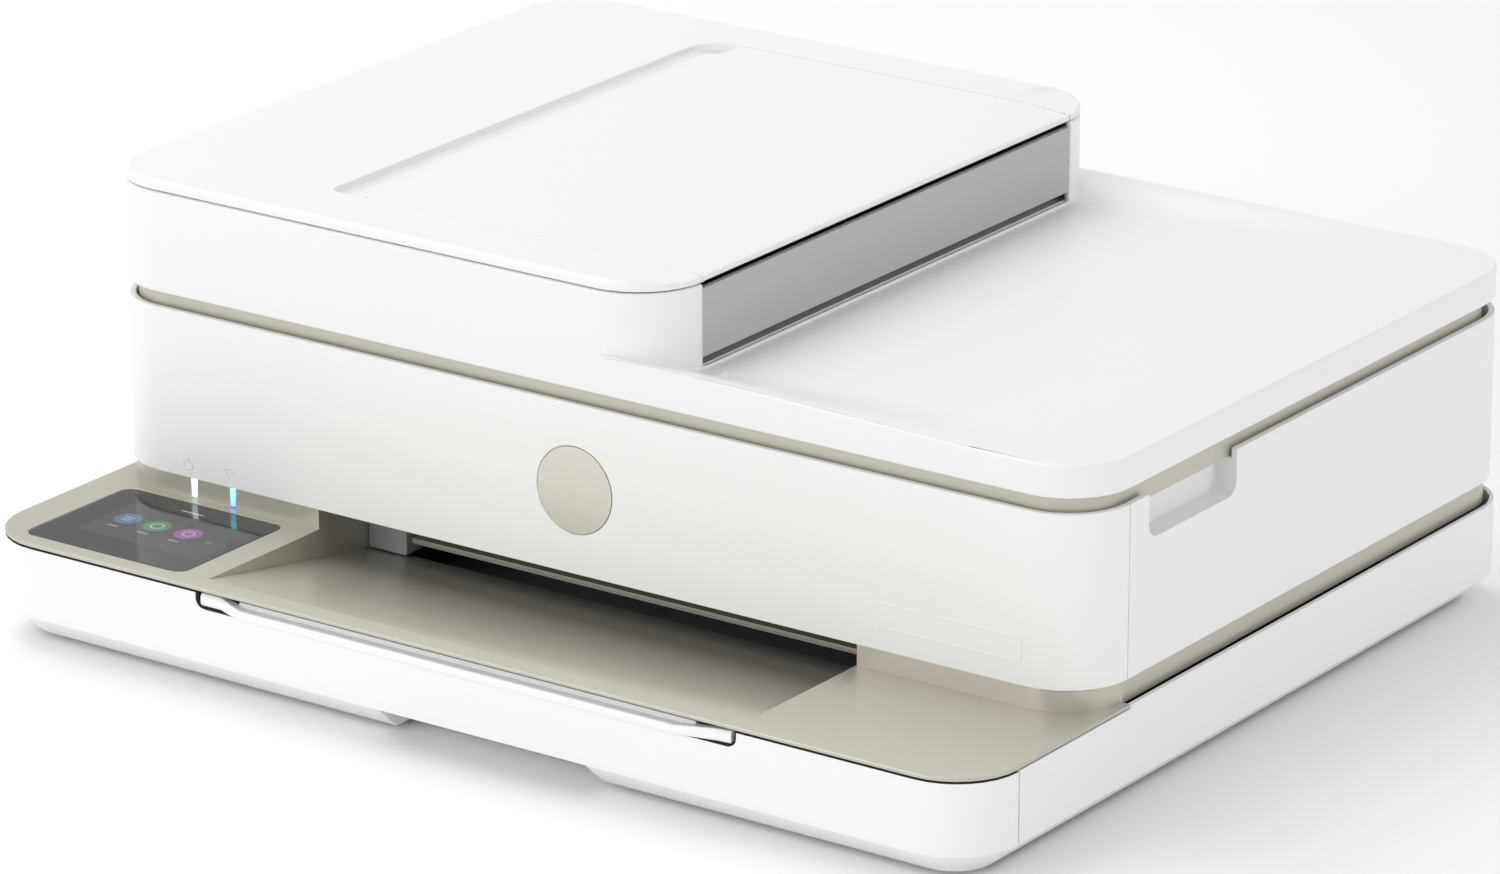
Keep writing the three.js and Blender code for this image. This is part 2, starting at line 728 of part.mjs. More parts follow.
// Belt loop round the two pulleys, and its motor.
function stadium(radius) {
  const points = [];
  for (const [cx, start] of [
    [pulleyX, -0.5 * Math.PI],
    [-pulleyX, 0.5 * Math.PI],
  ]) {
    for (let i = 0; i <= 10; i += 1) {
      const angle = start + (i / 10) * Math.PI;
      points.push([cx + radius * Math.cos(angle), pulleyY + radius * Math.sin(angle)]);
    }
  }
  return points;
}
const beltRadius = pulleyRadius + runningGap;
add(
  "carriage_belt",
  slab(stadium(beltRadius + beltThickness), beltZ - beltWidth / 2, beltZ + beltWidth / 2).subtract(
    slab(stadium(beltRadius), beltZ - beltWidth, beltZ + beltWidth),
  ),
  rubber,
);
const pulley = (x) =>
  cylinder("z", [x, pulleyY], pulleyRadius, beltZ - 3, beltZ + 3, 24).subtract(
    cylinder("z", [x, pulleyY], motorShaftRadius + runningGap, beltZ - 9, beltZ + 9, 12),
  );
add("motor_pulley", pulley(pulleyX), greyPlastic);
add("tension_pulley", pulley(-pulleyX), greyPlastic);
add(
  "carriage_motor",
  cylinder("z", [pulleyX, pulleyY + 1], 7, chassisBottom + 8, beltZ - 6, 24).add(
    cylinder("z", [pulleyX, pulleyY], motorShaftRadius, beltZ - 7, beltZ + 4, 12),
  ),
  steel,
);
const stationX0 = turnHalfWidth + 10;
const stationTop = carriageBottom - 2.5;
let station = box(stationX0, engineHalf - 6, idlerY - 16, feedY - 8, chassisBottom, stationTop - 2);
for (const x of [carriageX - 6, carriageX + 25]) {
  station = station.add(box(x, x + 16, idlerY - 10, feedY - 14, stationTop - 3, stationTop));
}
add("service_station", station, darkPlastic);

// Paper pick arm with its roller, raised at rest.
const pickRollerRadius = 8;
const pickReach = 52;
const pickRollerY = pickShaftY + pickReach;
const pickRollerZ = pickShaftZ - 6;
const armHalfDepth = 4;
const pickArm = prismX(
  [
    [pickShaftY - armHalfDepth, pickShaftZ - armHalfDepth],
    [pickRollerY - 2, pickRollerZ - armHalfDepth],
    [pickRollerY + armHalfDepth, pickRollerZ - 2],
    [pickRollerY + armHalfDepth, pickRollerZ + armHalfDepth],
    [pickShaftY, pickShaftZ + armHalfDepth],
    [pickShaftY - armHalfDepth, pickShaftZ + 2],
  ],
  -pickForkHalf,
  pickForkHalf,
)
  .subtract(box(-pickForkHalf + 3, pickForkHalf - 3, pickShaftY + 12, far, 0, far))
  .subtract(cylinder("x", [pickRollerY, pickRollerZ], 2 + runningGap, -far, far, 16))
  .add(
    cylinder("x", [pickShaftY, pickShaftZ], pickShaftRadius, -pickForkHalf - 4.5, pickForkHalf + 4.5, 16),
  );
add("pick_arm", pickArm, darkPlastic);
add(
  "pick_roller",
  cylinder("x", [pickRollerY, pickRollerZ], pickRollerRadius, -10, 10, 24).add(
    cylinder("x", [pickRollerY, pickRollerZ], 2, -pickForkHalf + 0.5, pickForkHalf - 0.5, 16),
  ),
  rubber,
);

// Curved guide that turns the sheet from the drawer up to the feed roller.
const turnCentreZ = (paperLevel + plateTop) / 2 + 3.25;
const turnInner = paperLevel + 1 - turnCentreZ;
const turnPoints = [];
for (const [radius, from, to] of [
  [turnInner + turnWall, -1.35, 1.35],
  [turnInner, 1.35, -1.35],
]) {
  for (const angle of steps(from, to, 12)) {
    turnPoints.push([turnCentreY + radius * Math.cos(angle), turnCentreZ + radius * Math.sin(angle)]);
  }
}
add("turn_guide", prismX(turnPoints, -turnHalfWidth, turnHalfWidth), darkPlastic);

// Electronics behind the engine.
const boardX0 = turnHalfWidth + 8;
const boardX1 = engineHalf - 4;
let board = box(boardX0, boardX1, beamY + 10, rear - 13, boardZ, boardZ + boardThickness);
for (const [share, depth] of [
  [0.15, 12],
  [0.45, 30],
]) {
  const x = boardX0 + share * (boardX1 - boardX0);
  const chipTop = boardZ + boardThickness + 2;
  board = board.add(box(x, x + 14, beamY + depth, beamY + depth + 14, boardZ + 1, chipTop));
}
add("main_board", board, circuitGreen);
const socketWall = 2;
add(
  "usb_port",
  box(
    usbX - usbSize.width / 2,
    usbX + usbSize.width / 2,
    rear - gap - usbSize.depth,
    rear - gap,
    usbZ - usbSize.height / 2,
    usbZ + usbSize.height / 2,
  ).subtract(
    box(
      usbX - usbSize.width / 2 + socketWall,
      usbX + usbSize.width / 2 - socketWall,
      rear - usbSize.depth + 3,
      rear + 1,
      usbZ - usbSize.height / 2 + socketWall,
      usbZ + usbSize.height / 2 - socketWall,
    ),
  ),
  steel,
);
const supplyFront = beamY + 10;
const supplyRear = rear - gap - inletSize.depth - gap;
const supplyTop = Math.min(bodyBottom + 36.5, tubBottom - 8);
add(
  "power_supply",
  box(-boardX1, -boardX0, supplyFront, supplyRear, chassisBottom + 1, supplyTop),
  darkPlastic,
);
const inletBox = (trim, y0, y1) =>
  box(
    inletX - inletSize.width / 2 + trim,
    inletX + inletSize.width / 2 - trim,
    y0,
    y1,
    inletZ - inletSize.height / 2 + trim,
    inletZ + inletSize.height / 2 - trim,
  );
add(
  "power_inlet",
  inletBox(0, rear - gap - inletSize.depth, rear - gap).subtract(
    inletBox(2.5, rear - inletSize.depth + 2, rear + 1),
  ),
  darkPlastic,
);

// ---------------------------------------------------------------- paper drawer
const drawerWall = 3;
const lipMargin = 2; // between the extender's lip and the ends of its notch
const lipX0 = bayLeft + 2.9;
const lipX1 = bayRight - 2.3;
const lipBottom = deckTop - 6.8;
const lipCorner = 1.6;
// The lip seen from the front, its lower corners rounded.
function lipOutline(grow, z0, z1) {
  const area = { x0: lipX0 - grow, x1: lipX1 + grow, y0: z0, y1: z1 };
  return roundedOutline(area, [lipCorner + grow, lipCorner + grow, 0.5, 0.5], 0, 5);
}
const fingerX0 = -33.5;
const fingerX1 = 56;
const fingerDepth = drawerSeamY - front - 3;
const fingerTop = faceBottom;
const frontOuter = stack(baseArea, baseRadii, baseLayers(drawerTop, 0));
const frontInner = stack(baseArea, baseRadii, [
  [baseBottom + 2.5, chamferInset + 0.2],
  [faceBottom, drawerWall + 0.6],
  [deckTop, drawerWall],
]);
const fingerBack = front + fingerDepth;
add(
  "drawer_front",
  frontOuter
    .subtract(frontInner)
    .add(
      frontOuter.intersect(
        box(fingerX0 - 2.5, fingerX1 + 2.5, front, fingerBack + 2.5, baseBottom - 1, fingerTop + 2.2),
      ),
    )
    .subtract(box(-far, far, drawerSeamY - gap, far, -far, far))
    .subtract(box(fingerX0, fingerX1, front - 5, fingerBack, 0, fingerTop))
    .subtract(prismY(lipOutline(lipMargin, lipBottom - 0.9, deckTop), front - 5, front + 7)),
  whitePlastic,
);

const trayMargin = 30.7; // the tray's wall stands this far outside the bay's right wall
const trayHalf = bayRight + trayMargin;
const trayFloor = plateTop + 0.7;
const trayFloorTop = trayFloor + 2;
const trayRearY = rear - 49;
const trayWallTop = deckTop - deckSkin - 2;
const trayFrontY = fingerBack + 3.2;
let tray = box(-trayHalf, trayHalf, trayFrontY, trayRearY, trayFloor, trayFloorTop);
for (const x of [-trayHalf, trayHalf - 2.5]) {
  tray = tray.add(box(x, x + 2.5, trayFrontY, trayRearY, trayFloor, trayWallTop));
}
add("paper_tray", tray, greyPlastic);

const guideHeight = 10.5;
const guideBottom = trayFloorTop + gap;
const guideX = trayHalf - 41;
const guideY0 = 60;
const guideLength = 110;
for (const [name, sign] of Object.entries({ width_guide_left: -1, width_guide_right: 1 })) {
  const span = (from, to) => (sign < 0 ? [-to, -from] : [from, to]);
  const top = guideBottom + guideHeight;
  const fence = box(...span(guideX, guideX + 2), guideY0, guideY0 + guideLength, guideBottom, top);
  const foot = box(...span(guideX, guideX + 22), guideY0 + 20, guideY0 + 80, guideBottom, guideBottom + 2);
  const grip = box(...span(guideX + 1, guideX + 18), guideY0 + 45, guideY0 + 55, guideBottom, top - 1);
  add(name, fence.add(foot).add(grip), darkPlastic);
}
add(
  "length_guide",
  box(-24, 24, trayRearY - 7, trayRearY - 5, guideBottom, guideBottom + guideHeight).add(
    box(-18, 18, trayRearY - 24, trayRearY - 5, guideBottom, guideBottom + 1.2),
  ),
  darkPlastic,
);

// Output extender: a sloping plate under the bay floor with a finger lip at the front.
const extenderDrop = 1.6;
const extenderThickness = 2;
const extenderRearY = 5;
const extenderInset = 16;
const extenderTopAt = (y) => bayFloorAt(y) - bayWall - extenderDrop;
const plateFrontY = front + 2.2;
const extenderPlate = prismX(
  [
    [plateFrontY, extenderTopAt(plateFrontY) - extenderThickness],
    [extenderRearY, extenderTopAt(extenderRearY) - extenderThickness],
    [extenderRearY, extenderTopAt(extenderRearY)],
    [plateFrontY, extenderTopAt(plateFrontY)],
  ],
  lipX0 + extenderInset,
  lipX1 - extenderInset,
);
const lipTop = drawerTop - 0.1;
// One YZ section of the lip; out is how far it has bulged ahead of the drawer front, 0 to 1.
function lipSection(x, out) {
  const y = front + 0.2 - out * lipReach;
  const back = front + 3;
  const top = lipTop - 1.8 * out;
  const bottom = lipBottom - 0.3 * out;
  return [
    [x, y + 0.6, bottom],
    [x, back, bottom + 0.4],
    [x, back, lipTop - 2.2 * out],
    [x, (y + back) / 2, top - 0.6 * out],
    [x, y + 0.8, top],
    [x, y, top - 1],
    [x, y, bottom + 0.8],
  ];
}
const lipStations = [
  [lipX0, 0],
  [lipX0 + 9, 0],
  [lipX0 + 14, 0.55],
  [lipX0 + 20, 1],
  [lipX1 - 22, 1],
  [lipX1 - 15, 0.6],
  [lipX1 - 6, 0.12],
  [lipX1, 0],
];
const lip = loft(
  lipStations.map(([x, out]) => lipSection(x, out)),
  ([, y, z]) => new THREE.Vector2(y, z),
);
const lipEnds = prismY(lipOutline(0, lipBottom - 0.5, deckTop), front - 20, front + 20);
add("output_extender", lip.intersect(lipEnds).add(extenderPlate), whitePlastic);

// ---------------------------------------------------------------- scanner unit
const flangeHalf = bodyHalf - bodyWall - 1;
const flangeArea = { x0: -flangeHalf, x1: flangeHalf, y0: bodyWall + 1, y1: rear - 6 };
const flangeRadii = Array(4).fill(cornerRadius - bodyWall - 1);
const scannerTop = lidBottom - gap;
const flangeBottom = bodyTop - flangeDrop;
const tubHalf = bodyHalf - recessDepth - recessWall - 3.8;
const tubArea = { x0: -tubHalf, x1: tubHalf, y0: 16, y1: rear - 19 };
const tubRadii = Array(4).fill(8);
const tubWall = 2.5;
const glassPlate = 2.6;
const glassSpan = { x0: -tubHalf + 47, x1: tubHalf - 47, y0: 24, y1: rear - 37 };
const stripSpan = { x0: -tubHalf + 15, x1: -tubHalf + 35, y0: 24, y1: rear - 37 };
const glassLedge = 4;
const hingeBlockX = bodyHalf - 138.8;
const hingeBlockHalf = 15;
const scannerAxis = [rear - 5.5, bodyTop + 1.2];
let scannerBase = stack(flangeArea, flangeRadii, [
  [flangeBottom, 0],
  [scannerTop, 0],
])
  .add(
    stack(tubArea, tubRadii, [
      [tubBottom, 0],
      [flangeBottom + 1, 0],
    ]),
  )
  .subtract(
    stack(tubArea, tubRadii, [
      [tubBottom + 2, tubWall],
      [scannerTop - 4, tubWall],
    ]),
  );
for (const span of [glassSpan, stripSpan]) {
  const seat = scannerTop - glassPlate - gap;
  scannerBase = scannerBase
    .subtract(box(span.x0 - gap, span.x1 + gap, span.y0 - gap, span.y1 + gap, seat, far))
    .subtract(
      box(
        span.x0 + glassLedge,
        span.x1 - glassLedge,
        span.y0 + glassLedge,
        span.y1 - glassLedge,
        tubBottom + 3,
        far,
      ),
    );
}
const lugReach = 2.6;
const hingePin = (from, to) =>
  cylinder("x", scannerAxis, 1.3, from, to, 12).intersect(box(-far, far, 0, rear - 4, 0, far));
for (const sign of [-1, 1]) {
  const [x0, x1] = [sign * hingeBlockX - hingeBlockHalf, sign * hingeBlockX + hingeBlockHalf];
  scannerBase = scannerBase
    .subtract(box(x0, x1, scannerAxis[0] - lugReach - 0.6, far, 0, far))
    .add(hingePin(x0 - 2, x0 + 4))
    .add(hingePin(x1 - 4, x1 + 2));
}
// Posts at the rear edge that carry the lid.
const lidAxis = [rear - 3, lidBottom + 2];
const lidHingeX = bodyHalf - 78.8;
const lidHingeHalf = 15;
const eyeRadius = 3;
const lidPinRadius = 1.6;
for (const x of [-lidHingeX, lidHingeX]) {
  const [x0, x1] = [x - lidHingeHalf, x + lidHingeHalf];
  scannerBase = scannerBase
    .add(box(x0, x1, flangeArea.y1 - 1, lidAxis[0], bodyTop + 0.4, lidAxis[1]))
    .add(cylinder("x", lidAxis, eyeRadius, x0, x1, 20))
    .add(cylinder("x", lidAxis, lidPinRadius, x0 - 5, x1 + 5, 16));
}
add("scanner_base", scannerBase, beigePlastic);
const scannerHinges = [-hingeBlockX, hingeBlockX].map((x) => {
  const [x0, x1] = [x - hingeBlockHalf + 0.6, x + hingeBlockHalf - 0.6];
  return box(x0, x1, scannerAxis[0], rear - bodyWall - gap, bodyTop - 14, scannerAxis[1])
    .add(cylinder("x", scannerAxis, lugReach, x0, x1, 16))
    .subtract(cylinder("x", scannerAxis, 1.3 + runningGap, -far, far, 12));
});
const hingeRail = rear - bodyWall - gap;
const hingeTie = box(-hingeBlockX, hingeBlockX, hingeRail - 1.5, hingeRail, bodyTop - 14, bodyTop - 10);
add("scanner_hinges", hingeTie.add(union(scannerHinges)), steel);
const pane = (span) => box(span.x0, span.x1, span.y0, span.y1, scannerTop - glassPlate, scannerTop);
add("scanner_glass", pane(glassSpan), clearGlass);
add("feeder_scan_glass", pane(stripSpan), clearGlass);

const scanRod = [140, tubBottom + 7];
const barX0 = stripSpan.x0 + 2;
add("scan_rod", cylinder("x", scanRod, 2.5, -tubHalf + tubWall + gap, tubHalf - tubWall - gap, 16), steel);
const barTop = scannerTop - glassPlate - 2;
add(
  "scan_bar",
  box(barX0, barX0 + 16, glassSpan.y0 + 2, glassSpan.y1 - 2, tubBottom + 2.6, barTop).subtract(
    cylinder("x", scanRod, 2.5 + runningGap, -far, far, 20),
  ),
  darkPlastic,
);

// ---------------------------------------------------------------- lid with feeder housing
const feederRight = 36.2;
const feederRear = rear - 4;
const pocket = [27, feederRear - 23]; // front and rear ends of the flap and of the end wall
const feederArea = { x0: -bodyHalf, x1: feederRight, y0: 0, y1: feederRear };
const feederRadii = [cornerRadius, pocket[0] - 0.2, feederRear - pocket[1], cornerRadius + 2];
const dishDepth = 5.2;
const dishStart = -60;
const dishFlat = -40;
const dishEnd = 165;
const frontLift = 2.6;
function lidHeight(x, y) {
  const dished = smooth((x - dishStart) / (dishFlat - dishStart));
  const rising = smooth((x - feederRight) / (dishEnd - feederRight));
  const across = x < feederRight ? dished : 1 - rising;
  const along = smooth((y - 1) / 30) * smooth((rear - 2 - y) / 24);
  const rise = x < feederRight ? 1 : 1 - smooth((x - 50) / 160);
  return lidTop - dishDepth * across * along + frontLift * rise * (1 - smooth(y / 24));
}
const lidXs = [
  -far,
  dishStart,
  (dishStart + dishFlat) / 2,
  dishFlat,
  feederRight - 0.5,
  ...steps(feederRight + 6, dishEnd, 9),
  bodyHalf + 1.2,
  far,
];
const lidYs = [-far, 0.5, 4, 9, 15, 22, 31, rear - 26, rear - 18, rear - 10, rear - 4, far];
const lidSkin = 2.2;
let lid = reliefBlock(lidXs, lidYs, lidHeight, lidBottom).intersect(
  stack(bodyArea, bodyRadii, [
    [lidBottom - 1, 0],
    [feederTop, 0],
  ]),
);
lid = lid
  .add(
    stack(feederArea, feederRadii, [
      [lidBottom + 1, 0],
      [feederSeam - gap, 0],
    ]).subtract(
      stack(feederArea, feederRadii, [
        [lidBottom, wall],
        [feederTop, wall],
      ]),
    ),
  )
  .subtract(
    box(feederRight - 12, feederRight + 10, pocket[0], pocket[1], lidTop - dishDepth + 0.6, far),
  );
const cavityTop = lidTop - dishDepth - lidSkin;
const padSpan = { x0: -tubHalf + 41, x1: tubHalf - 41, y0: 18, y1: rear - 31 };
for (const [x0, x1, top] of [
  [-bodyHalf + 4, dishStart - 3, lidTop - lidSkin],
  [dishStart - 5, bodyHalf - 4, cavityTop],
]) {
  const cavityArea = { x0: -bodyHalf + 4, x1: bodyHalf - 4, y0: 4, y1: rear - 9 };
  const cavity = stack(cavityArea, Array(4).fill(20), [
    [lidBottom - 2, 0],
    [top, 0],
  ]);
  lid = lid.subtract(cavity.intersect(box(x0, x1, 0, far, 0, far)));
}
lid = lid.subtract(
  box(
    stripSpan.x0 + glassLedge,
    stripSpan.x1 - glassLedge,
    stripSpan.y0 + glassLedge,
    stripSpan.y1 - glassLedge,
    0,
    lidTop + 1,
  ),
);
for (const sign of [-1, 1]) {
  const [x0, x1] = [sign * lidHingeX - lidHingeHalf, sign * lidHingeX + lidHingeHalf];
  lid = lid
    .subtract(box(x0 - 0.6, x1 + 0.6, lidAxis[0] - eyeRadius - 1, far, 0, lidAxis[1] + eyeRadius + 1))
    .subtract(cylinder("x", lidAxis, lidPinRadius + runningGap, x0 - 6, x1 + 6, 16));
}
add("lid_panel", lid, whitePlastic);
add("lid_pad", box(padSpan.x0, padSpan.x1, padSpan.y0, padSpan.y1, lidBottom, cavityTop - gap), foam);

// ---------------------------------------------------------------- document feeder
const endWallBottom = lidTop - 0.7;
const slotBottom = feederSeam - 2.2;
const flapDrop = 1.6; // the top falls away this much towards the flap's right edge
const flapThickness = 2.7;
const trenchWidth = 13.8;
const flapLeft = feederRight - 150.9;
const trenchLeft = flapLeft - trenchWidth;
const capBottom = feederSeam + gap;
const trenchFloor = feederSeam + 0.4;
const deckLevel = feederSeam - 5.3; // where the documents lie

add(
  "feeder_end_wall",
  box(feederRight - 2.4, feederRight - 0.3, pocket[0] + gap, pocket[1] - gap, endWallBottom, slotBottom),
  greyPlastic,
);
const tubeLeft = trenchLeft + 16.5;
const tubeRight = feederRight - 2.4 - gap;
const tubeBottom = lidTop + 1.4;
const tube = box(tubeLeft, tubeRight, pocket[0] + 4, pocket[1] - 3, tubeBottom, deckLevel);
const tubeHollow = box(tubeLeft + 2, tubeRight - 2, 0, far, tubeBottom + 2, deckLevel - 2);
add("feeder_frame", tube.subtract(tubeHollow), darkPlastic);

// Cap round three sides of the flap, with the finger trench along the flap's left edge.
const capTopLine = [
  [-far, feederTop],
  [8, feederTop],
  [22, feederTop - 0.3 * flapDrop],
  [32, feederTop - 0.75 * flapDrop],
  [feederRight + 1, feederTop - 1.1 * flapDrop],
];
const crown = [...capTopLine, [feederRight + 1, feederTop + 10], [-far, feederTop + 10]];
const ledgeBottom = feederSeam - 2.4;
const hingeDrop = 1.3;
const flapAxis = [feederRight - 1.5, feederTop - flapDrop - hingeDrop];
const flapPin = 0.9;
let cap = stack(feederArea, feederRadii, [
  [capBottom, 0],
  [feederTop - 1.9, 0],
  [feederTop - 0.6, 0.6],
  [feederTop, 1.8],
])
  .subtract(prismY(crown, -1, far))
  .subtract(
    slab(
      roundedOutline({ x0: trenchLeft, x1: far, y0: pocket[0], y1: pocket[1] }, [5, 0.5, 0.5, 14]),
      0,
      far,
    ),
  );
const ledgeRight = flapLeft + 6;
const ledgeBlank = box(trenchLeft - 2, ledgeRight, pocket[0] - 1, pocket[1] + 1, ledgeBottom, feederTop - 1);
const ledge = ledgeBlank.subtract(
  prismY(
    [
      [trenchLeft, feederTop + 1],
      [trenchLeft + 0.8, trenchFloor + 1.6],
      [trenchLeft + 3, trenchFloor + 0.3],
      [trenchLeft + 6, trenchFloor],
      [flapLeft + 8, trenchFloor],
      [flapLeft + 8, feederTop + 1],
    ],
    pocket[0],
    pocket[1],
  ),
);
cap = cap.add(ledge);
for (const [from, to] of [
  [pocket[0] - 2, pocket[0] + 3],
  [pocket[1] - 3, pocket[1] + 2],
]) {
  cap = cap.add(cylinder("y", flapAxis, flapPin, from, to, 12));
}
add("feeder_cover", cap, whitePlastic);

// Flap: the document input tray, hinged along its right edge.
const flapBottom = feederTop - flapThickness;
const flapEdgeBottom = feederTop - flapDrop - flapThickness;
const flapProfile = [
  [flapLeft + 2, flapBottom],
  [8, flapBottom],
  [26, flapBottom - 0.5 * flapDrop],
  [feederRight - 3, flapEdgeBottom],
  [feederRight - 1.4, flapEdgeBottom - 0.05],
  [feederRight - 0.5, flapEdgeBottom + 0.5],
  [feederRight - 0.2, flapEdgeBottom + 1.3],
  [feederRight - 0.7, feederTop - flapDrop - 0.3],
  [32, feederTop - 0.75 * flapDrop - 0.1],
  [22, feederTop - 0.3 * flapDrop - 0.1],
  [8, feederTop - 0.1],
  [flapLeft + 1.6, feederTop - 0.1],
  [flapLeft, feederTop - 1.4],
];
const flapOutline = roundedOutline(
  { x0: flapLeft, x1: feederRight + 5, y0: pocket[0] + gap, y1: pocket[1] - gap },
  [6, 0.5, 0.5, 6],
);
const flapBlank = slab(flapOutline, flapEdgeBottom - 2, feederTop + 1);
add(
  "feeder_input_tray",
  prismY(flapProfile, pocket[0], pocket[1])
    .intersect(flapBlank)
    .subtract(cylinder("y", flapAxis, flapPin + 0.2, pocket[0] - 1, pocket[0] + 3.6, 12))
    .subtract(cylinder("y", flapAxis, flapPin + 0.2, pocket[1] - 3.6, pocket[1] + 1, 12)),
  whitePlastic,
);

// Sliding document guides, and the rollers under the cap.
const guideSpanX = [flapLeft + 14, flapLeft + 84];
const docGuideTop = flapEdgeBottom - 0.6;
for (const [name, y, sign] of [
  ["feeder_guide_front", pocket[0] + 12, 1],
  ["feeder_guide_rear", pocket[1] - 12, -1],
]) {
  const [y0, y1] = sign > 0 ? [y, y + 2] : [y - 2, y];
  const [foot0, foot1] = sign > 0 ? [y, y + 14] : [y - 14, y];
  const fence = box(...guideSpanX, y0, y1, deckLevel + gap, docGuideTop);
  add(name, fence.add(box(...guideSpanX, foot0, foot1, deckLevel + gap, deckLevel + 1.3)), greyPlastic);
}
const drumFloorGap = 0.7;
const drumTopGap = 1;
const feedDrumRadius = (feederWallHeight - drumFloorGap - drumTopGap) / 2;
const feedDrum = [trenchLeft - 21.5, lidTop + drumFloorGap + feedDrumRadius];
const pickDrum = [tubeLeft - 10.5, deckLevel - 7];
const drumY = [38, feederRear - 37];
add(
  "feeder_drive_roller",
  cylinder("y", feedDrum, feedDrumRadius, ...drumY, 32).add(
    cylinder("y", feedDrum, 3, wall + gap, feederRear - wall - gap, 16),
  ),
  rubber,
);
add(
  "feeder_pick_roller",
  cylinder("y", pickDrum, 7, 110, 176, 24).add(cylinder("y", pickDrum, 2.5, drumY[0], drumY[1], 16)),
  rubber,
);
export default printer;
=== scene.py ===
from math import atan2, radians

import bpy
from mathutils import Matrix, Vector


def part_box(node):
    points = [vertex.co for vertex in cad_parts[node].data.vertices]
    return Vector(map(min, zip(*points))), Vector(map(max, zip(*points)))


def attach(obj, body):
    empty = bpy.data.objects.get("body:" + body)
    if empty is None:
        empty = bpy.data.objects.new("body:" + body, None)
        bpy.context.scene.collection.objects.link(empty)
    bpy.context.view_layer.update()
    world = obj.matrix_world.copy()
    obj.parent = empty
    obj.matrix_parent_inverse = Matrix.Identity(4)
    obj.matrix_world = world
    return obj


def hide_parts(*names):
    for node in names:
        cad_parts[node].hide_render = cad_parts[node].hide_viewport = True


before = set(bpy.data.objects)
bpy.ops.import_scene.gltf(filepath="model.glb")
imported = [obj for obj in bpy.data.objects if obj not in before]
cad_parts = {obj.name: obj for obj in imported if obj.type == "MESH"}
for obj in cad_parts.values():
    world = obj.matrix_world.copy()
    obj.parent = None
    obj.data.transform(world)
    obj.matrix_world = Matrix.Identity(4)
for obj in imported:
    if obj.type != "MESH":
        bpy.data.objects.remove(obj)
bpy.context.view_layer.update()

# ---------------------------------------------------------------------------
# Camera: a long lens, high on the printer's right, looking down on its front.
# ---------------------------------------------------------------------------
degrees_below_level = 19.387
degrees_to_the_right = 35.166
bpy.ops.object.select_all(action="DESELECT")
bpy.ops.object.camera_add(
    location=(1.46203, -2.07585, 0.96119),
    rotation=(radians(90 - degrees_below_level), 0, radians(degrees_to_the_right)),
)
camera = bpy.context.object
camera.data.sensor_fit = "HORIZONTAL"
camera.data.sensor_width = 36
camera.data.lens = 178.6
camera.data.clip_start = 0.1
camera.data.clip_end = 50
bpy.context.scene.camera = camera
bpy.context.scene.view_settings.view_transform = "Standard"

# ---------------------------------------------------------------------------
# Studio: a pale floor, an even white surround, and soft boxes above, in front
# and on the right. The first two stand to the left, so the right side is darker.
# ---------------------------------------------------------------------------
bpy.ops.mesh.primitive_plane_add(size=12, location=(0, 0, -0.0002))
floor = bpy.context.object
floor.name = "studio_floor"
floor_paint = bpy.data.materials.new("studio_floor_paint")
floor_paint.use_nodes = True
floor_shader = floor_paint.node_tree.nodes["Principled BSDF"]
floor_shader.inputs["Base Color"].default_value = (0.95, 0.95, 0.95, 1)
floor_shader.inputs["Roughness"].default_value = 0.9
floor.data.materials.append(floor_paint)

studio_world = bpy.data.worlds.new("studio_surround")
studio_world.use_nodes = True
surround = studio_world.node_tree.nodes["Background"]
surround.inputs["Color"].default_value = (1, 1, 1, 1)
surround.inputs["Strength"].default_value = 0.62
bpy.context.scene.world = studio_world

for light_name, place, aim, size, power in (
    ("overhead_box", (-0.9, 0.25, 1.7), (0, 0, 0.1), 1.5, 15),
    ("front_box", (-0.6, -2.1, 0.85), (0, 0, 0.08), 1.5, 16),
    ("right_box", (2.2, 0.1, 0.9), (0, 0, 0.08), 1.2, 8),
):
    bpy.ops.object.light_add(type="AREA", location=place)
    soft_box = bpy.context.object
    soft_box.name = light_name
    soft_box.data.shape = "SQUARE"
    soft_box.data.size = size
    soft_box.data.energy = power
    heading = Vector(aim) - Vector(place)
    soft_box.rotation_euler = heading.to_track_quat("-Z", "Y").to_euler()

# ---------------------------------------------------------------------------
# Base housing and side panels: injection-moulded shells in white plastic with
# a very fine spark-eroded grain and slightly rounded edges.
# ---------------------------------------------------------------------------
grain = bpy.data.node_groups.new("moulded_grain", "ShaderNodeTree")
for socket_name, socket_type, default in (
    ("Colour", "NodeSocketColor", (0.8, 0.8, 0.8, 1)),
    ("Mottle", "NodeSocketFloat", 0.03),
    ("Gloss", "NodeSocketFloat", 0.4),
    ("Gloss Spread", "NodeSocketFloat", 0.06),
    ("Grain Scale", "NodeSocketFloat", 2200),
):
    socket = grain.interface.new_socket(
        name=socket_name, in_out="INPUT", socket_type=socket_type
    )
    socket.default_value = default
for socket_name, socket_type in (
    ("Colour", "NodeSocketColor"),
    ("Roughness", "NodeSocketFloat"),
    ("Height", "NodeSocketFloat"),
):
    grain.interface.new_socket(
        name=socket_name, in_out="OUTPUT", socket_type=socket_type
    )
knots, ties = grain.nodes, grain.links
grain_in = knots.new("NodeGroupInput")
grain_out = knots.new("NodeGroupOutput")
grain_place = knots.new("ShaderNodeTexCoord")
cloud = knots.new("ShaderNodeTexNoise")
cloud.inputs["Scale"].default_value = 9
cloud.inputs["Detail"].default_value = 3
pits = knots.new("ShaderNodeTexNoise")
pits.inputs["Detail"].default_value = 1.5
patch = knots.new("ShaderNodeMapRange")
patch.inputs["From Min"].default_value = 0.3
patch.inputs["From Max"].default_value = 0.7
darker = knots.new("ShaderNodeMath")
